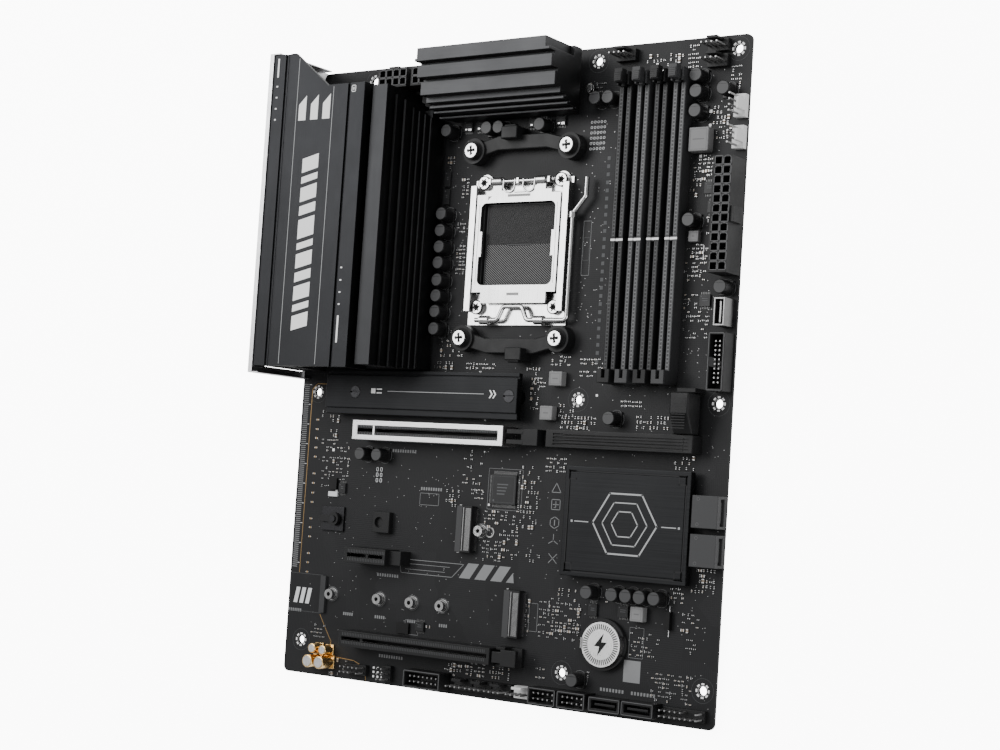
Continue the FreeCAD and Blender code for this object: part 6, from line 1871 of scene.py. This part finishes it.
    def chip_marks(self) -> None:
        """A dot and two plain lines on each small chip, and outlines on the chokes."""
        mould = Mould(self.bench, "chip_mark", "dark_ferrite")
        for low, high in self.bench.solids("chips"):
            if high.x - low.x > 10 or high.z < 0.9:
                continue
            mould.disc(low.x + 0.9, high.y - 0.9, (high.z, high.z + 0.02), 0.28, 14)
            for row in range(2):
                y = (low.y + high.y) / 2 - 0.3 + row * 0.9
                mould.slab((low.x + 1.4, high.x - 1.2), (y, y + 0.3), (high.z, high.z + 0.015))
        for low, high in self.bench.solids("inductors"):
            if high.z > 6.0:
                continue
            mould.frame((low.x + 0.9, high.x - 0.9), (low.y + 0.9, high.y - 0.9), 0.14, (high.z,
                                                                                         high.z + 0.02), 1)
            mould.slab((low.x + 2.0, high.x - 2.0), ((low.y + high.y) / 2 - 0.25,
                                                     (low.y + high.y) / 2 + 0.25),
                       (high.z, high.z + 0.02), 1)
        mould.cast("part_marks", "board", "chip_black")

    def stages(self) -> None:
        """Bright tabs on the power stages that show beside the socket."""
        mould = Mould(self.bench, "tin")
        for low, high in self.bench.solids("chips"):
            near_top = 269.0 < low.y < 270.5 and low.x < 150
            near_left = 82.0 < low.x < 88.5 and 230 < low.y < 250
            if near_top or near_left:
                x, y = (high.x - 0.9, low.y + 1.0)
                mould.slab((x - 1.3, x + 0.5), (y - 0.6, y + 0.5), (high.z - 0.02, high.z + 0.12))
                mould.slab((x - 3.2, x - 2.0), (y - 0.3, y + 0.5), (high.z - 0.02, high.z + 0.1))
        mould.cast("stage_tabs", "board", "tin", 0.03)

    def free(self, tree: BVHTree, x: float, y: float, reach: float) -> bool:
        """Whether a spot on the board is clear of taller parts.

        Args:
            tree: The fixed model's faces.
            x: Place across.
            y: Place along.
            reach: Half the room that is needed.

        Returns:
            True where only the board lies below all nine probes.
        """
        for dx in (-reach, 0.0, reach):
            for dy in (-reach, 0.0, reach):
                start = self.bench.at(x + dx, y + dy, 60.0)
                place, _, _, _ = tree.ray_cast(start, Vector((0.0, 0.0, -1.0)))
                if place is None or abs(place.z - self.bench.top) > 0.05 * MM:
                    return False
        return True

    def model_tree(self) -> BVHTree:
        """All faces of the fixed model in one search tree."""
        points: list[Vector] = []
        faces: list[tuple[int, ...]] = []
        for piece in self.bench.nodes.values():
            start = len(points)
            points.extend(vertex.co.copy() for vertex in piece.data.vertices)
            faces.extend(tuple(start + index for index in face.vertices) for face in piece.data.polygons)
        return BVHTree.FromPolygons(points, faces)

    def scatter(self) -> None:
        """Rows of small parts in every cluster, where nothing taller stands."""
        draw = random.Random(self.seed)
        tree = self.model_tree()
        kinds: dict[str, tuple[list[Triple], list[float]]] = {name: ([], []) for name in ("tan", "dark",
                                                                                          "large")}
        pads = Mould(self.bench, "white_print", "grey_print")
        for x0, y0, x1, y1, share in self.clusters:
            step_x, step_y = draw.choice(((1.75, 2.3), (2.3, 1.75), (1.9, 1.9)))
            upright = step_y > step_x
            rows = max(1, int((y1 - y0) / step_y))
            columns = max(1, int((x1 - x0) / step_x))
            for row in range(rows + 1):
                slack = draw.uniform(-0.25, 0.25)
                for column in range(columns + 1):
                    if draw.random() > share * 0.92:
                        continue
                    x = x0 + column * step_x + slack
                    y = y0 + row * step_y + draw.uniform(-0.12, 0.12)
                    if not self.free(tree, x, y, self.clear + 0.5):
                        continue
                    kind = draw.choices(("tan", "dark", "large"), (3, 7, 1))[0]
                    if kind == "large" and (step_x < 2 and step_y < 2 or not self.free(tree, x, y, 1.3)):
                        kind = "dark"
                    turn = QUARTER if upright != (draw.random() < 0.12) else 0.0
                    high = {"tan": 0.25, "dark": 0.18, "large": 0.4}[kind]
                    kinds[kind][0].append((x, y, high))
                    kinds[kind][1].append(turn)
                    if draw.random() < 0.16:
                        pads.slab((x - 0.75, x - 0.55), (y - 0.6, y + 0.6), PRINT, 0)
        pads.frame((199.6, 206.8), (27.0, 40.4), 0.14, PRINT, 1)
        pads.cast("part_prints", "board", "board_laminate")
        shapes = {"tan": ((1.1, 0.52, 0.5), (0.26, 0.56, 0.54), 0.9, "ceramic_tan"),
                  "dark": ((1.1, 0.52, 0.36), (0.26, 0.56, 0.4), 0.9, "ceramic_dark"),
                  "large": ((1.9, 1.15, 0.8), (0.42, 1.2, 0.84), 1.5, "ceramic_tan")}
        for kind, (points, turns) in kinds.items():
            size, cap, gap, finish = shapes[kind]
            self.repeats.copies.cast(f"small_parts_{kind}", points, turns, size, cap, gap, (finish,
                                                                                            "foot_tin"), "tin",
                                     vary=0.12, seed=self.seed)

    def vias(self) -> None:
        """Tiny plated holes strewn between the parts."""
        draw = random.Random(self.seed + 1)
        tree = self.model_tree()
        points = []
        areas = ((12, 20, 238, 60, 150), (12, 60, 160, 118, 170), (84, 152, 178, 200, 90), (86, 200, 104,
                                                                                            270, 60),
                 (152, 176, 180, 296, 130), (216, 150, 234, 296, 120), (152, 112, 238, 152, 60),
                 (230, 4, 242, 140, 40))
        for x0, y0, x1, y1, count in areas:
            for _ in range(count):
                x, y = draw.uniform(x0, x1), draw.uniform(y0, y1)
                if self.free(tree, x, y, 0.4):
                    points.append((x, y, 0.01))
        self.repeats.copies.cast("plated_holes", points, [0.0] * len(points), (0.34, 0.34, 0.03), (0.1,
                                                                                                   0.24, 0.04),
                                 0.34, ("dull_tin", "dull_tin"), "tin", vary=0.3, seed=self.seed)

    def extras(self) -> None:
        """The crystal, bright test pads, the pad grid and the service strip."""
        mould = Mould(self.bench, "shield_steel", "bright_mark", "white_print", "grey_nylon", "deep_black")
        mould.slab((218.2, 220.6), (41.0, 49.0), (0.0, 2.6), 4)
        mould.ribbon([(219.4, 38.2), (219.4, 51.4)], 0.4, (0.2, 0.5), finish=0)
        for x, y, size in ((175.0, 143.2, 1.1), (225.3, 271.1, 1.4), (225.3, 264.9, 1.2), (221.4, 251.1, 1.3),
                           (26.4, 92.0, 1.2), (119.2, 90.2, 1.0), (22.6, 112.2, 1.4)):
            mould.slab((x - size / 2, x + size / 2), (y - size / 2, y + size / 2), (0.0, 0.08), 1)
        mould.slab((22.0, 27.6), (89.0, 91.4), (0.0, 1.1), 2)
        mould.slab((22.4, 27.2), (92.4, 98.2), (0.0, 1.5), 4)
        mould.slab((21.4, 24.6), (31.0, 49.2), (0.0, 1.6), 3)
        mould.slab((70.2, 77.6), (25.6, 30.6), (0.0, 1.3), 4)
        for row in range(6):
            for column in range(5):
                x, y = 163.4 + column * 1.75, 257.4 + row * 2.5
                mould.ring(x, y, PRINT, (0.42, 0.62), 16, 2)
        for column in range(3):
            for row in range(3):
                x, y = 57.4 + column * 2.6, 3.2 + row * 2.1
                mould.slab((x - 0.55, x + 0.55), (y - 0.5, y + 0.5), (0.0, 0.06), 1)
        mould.slab((225.4, 225.8), (204.6, 211.0), (0.0, 0.04), 1)
        for column in range(2):
            for row in range(3):
                x, y = 51.4 + column * 2.4, 98.4 + row * 2.7
                mould.frame((x - 0.55, x + 0.55), (y - 0.85, y + 0.85), 0.3, (0.0, 0.04), 2)
        mould.cast("service_parts", "board", "tin")


# ------------------------------------------------------------------ studio


@dataclass
class Studio(Assembly):
    """The pale floor, the soft lights and the camera."""

    eye: Triple = (613.956, 97.122, 715.891)
    right: Triple = (0.824068303, 0.064187939, -0.562842199)
    down: Triple = (0.017569979, -0.995977933, -0.087859276)
    lens: float = 66.361
    floor_size: float = 9.0
    floor_seen: float = 9.0
    floor_glow: float = 0.25

    def build(self) -> None:
        """Set up floor, lights and camera."""
        self.floor()
        self.lights()
        self.camera()

    def floor(self) -> None:
        """A wide pale floor just under the object."""
        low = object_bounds()[0][2] - 0.0002
        mesh = bmesh.new()
        half = self.floor_size / 2
        corners = [mesh.verts.new((x, y, low)) for x, y in ((-half, -half), (half, -half), (half, half),
                                                            (-half, half))]
        mesh.faces.new(corners)
        data = bpy.data.meshes.new("floor")
        mesh.to_mesh(data)
        mesh.free()
        recipe = Recipe("floor_paper", (0.93, 0.93, 0.93), 0.9)
        cloud = recipe.noise(8.0, 3.0)
        recipe.tint(cloud, (0.925, 0.925, 0.925), (0.935, 0.935, 0.935))
        recipe.shader.inputs["Emission Color"].default_value = (1.0, 1.0, 1.0, 1.0)
        seen = recipe.add("ShaderNodeLightPath").outputs["Is Camera Ray"]
        glow = recipe.math("ADD", recipe.math("MULTIPLY", seen, self.floor_seen), self.floor_glow)
        recipe.tree.links.new(glow, recipe.shader.inputs["Emission Strength"])
        data.materials.append(recipe.material)
        floor = bpy.data.objects.new("floor", data)
        bpy.context.scene.collection.objects.link(floor)
        floor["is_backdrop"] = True

    def lights(self) -> None:
        """A bright surround and three soft panels."""
        world = bpy.data.worlds.new("surround")
        bpy.context.scene.world = world
        world.use_nodes = True
        background = world.node_tree.nodes["Background"]
        background.inputs["Color"].default_value = (1.0, 1.0, 1.0, 1.0)
        background.inputs["Strength"].default_value = 0.4
        panels = (
            ("key_panel", (-0.75, 0.55, 1.25), 0.9, 17.0),
            ("top_panel", (0.1, 0.95, 0.9), 0.8, 9.0),
            ("side_panel", (1.2, -0.5, 0.75), 0.9, 7.0),
        )
        for name, place, size, power in panels:
            light = bpy.data.lights.new(name, "AREA")
            light.size = size
            light.energy = power
            lamp = bpy.data.objects.new(name, light)
            lamp.location = place
            aim = Vector((0.0, 0.06, 0.0)) - Vector(place)
            lamp.rotation_euler = aim.to_track_quat("-Z", "Y").to_euler()
            bpy.context.scene.collection.objects.link(lamp)

    def camera(self) -> None:
        """The view from high on the front side, looking down at the rear edge."""
        data = bpy.data.cameras.new("camera")
        data.sensor_width = 36.0
        data.lens = self.lens
        data.clip_start = 0.01
        camera = bpy.data.objects.new("camera", data)
        right = Vector(self.right).normalized()
        up = -Vector(self.down).normalized()
        back = right.cross(up)
        turn = Matrix((right, up, back)).transposed().to_4x4()
        camera.matrix_world = Matrix.Translation(self.bench.at(*self.eye)) @ turn
        bpy.context.scene.collection.objects.link(camera)
        bpy.context.scene.camera = camera


def node_slots(record: dict[str, object]) -> dict[str, str]:
    """Which material slot each node of the record has."""
    return {part["node"]: part["material_slot"] for part in record["subparts"]}


def main() -> None:
    """Load the fixed model, build every sub-assembly in order and set up the studio."""
    logging.basicConfig(level=logging.INFO, format="%(message)s")
    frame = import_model()
    bodies = {node: body for body, nodes in frame["record"]["behaviour"]["bodies"].items() for node in nodes}
    low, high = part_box("cpu_socket_contacts")
    palette = Palette()
    palette.mix((low.y + high.y) / 2)
    bench = Bench(frame["nodes"], palette, node_slots(frame["record"]), bodies)
    repeats = Repeats(Copies(bench), Rows(bench), Crowns(bench))
    for part in (CircuitBoard(bench, repeats), ProcessorSocket(bench, repeats), PowerStageCooling(bench,
                                                                                                  repeats),
                 RearCover(bench, repeats), RearPorts(bench, repeats), MemoryBank(bench, repeats),
                 ExpansionSlots(bench, repeats), StorageSites(bench, repeats), ChipsetCooler(bench, repeats),
                 PowerInlets(bench, repeats), EdgeHeaders(bench, repeats), CoinCell(bench,
                                                                                    repeats), Cans(bench,
                                                                                                   repeats),
                 ChipField(bench, repeats), Studio(bench, repeats)):
        LOG.info("building %s", type(part).__name__)
        part.build()


if __name__ == "__main__":
    main()
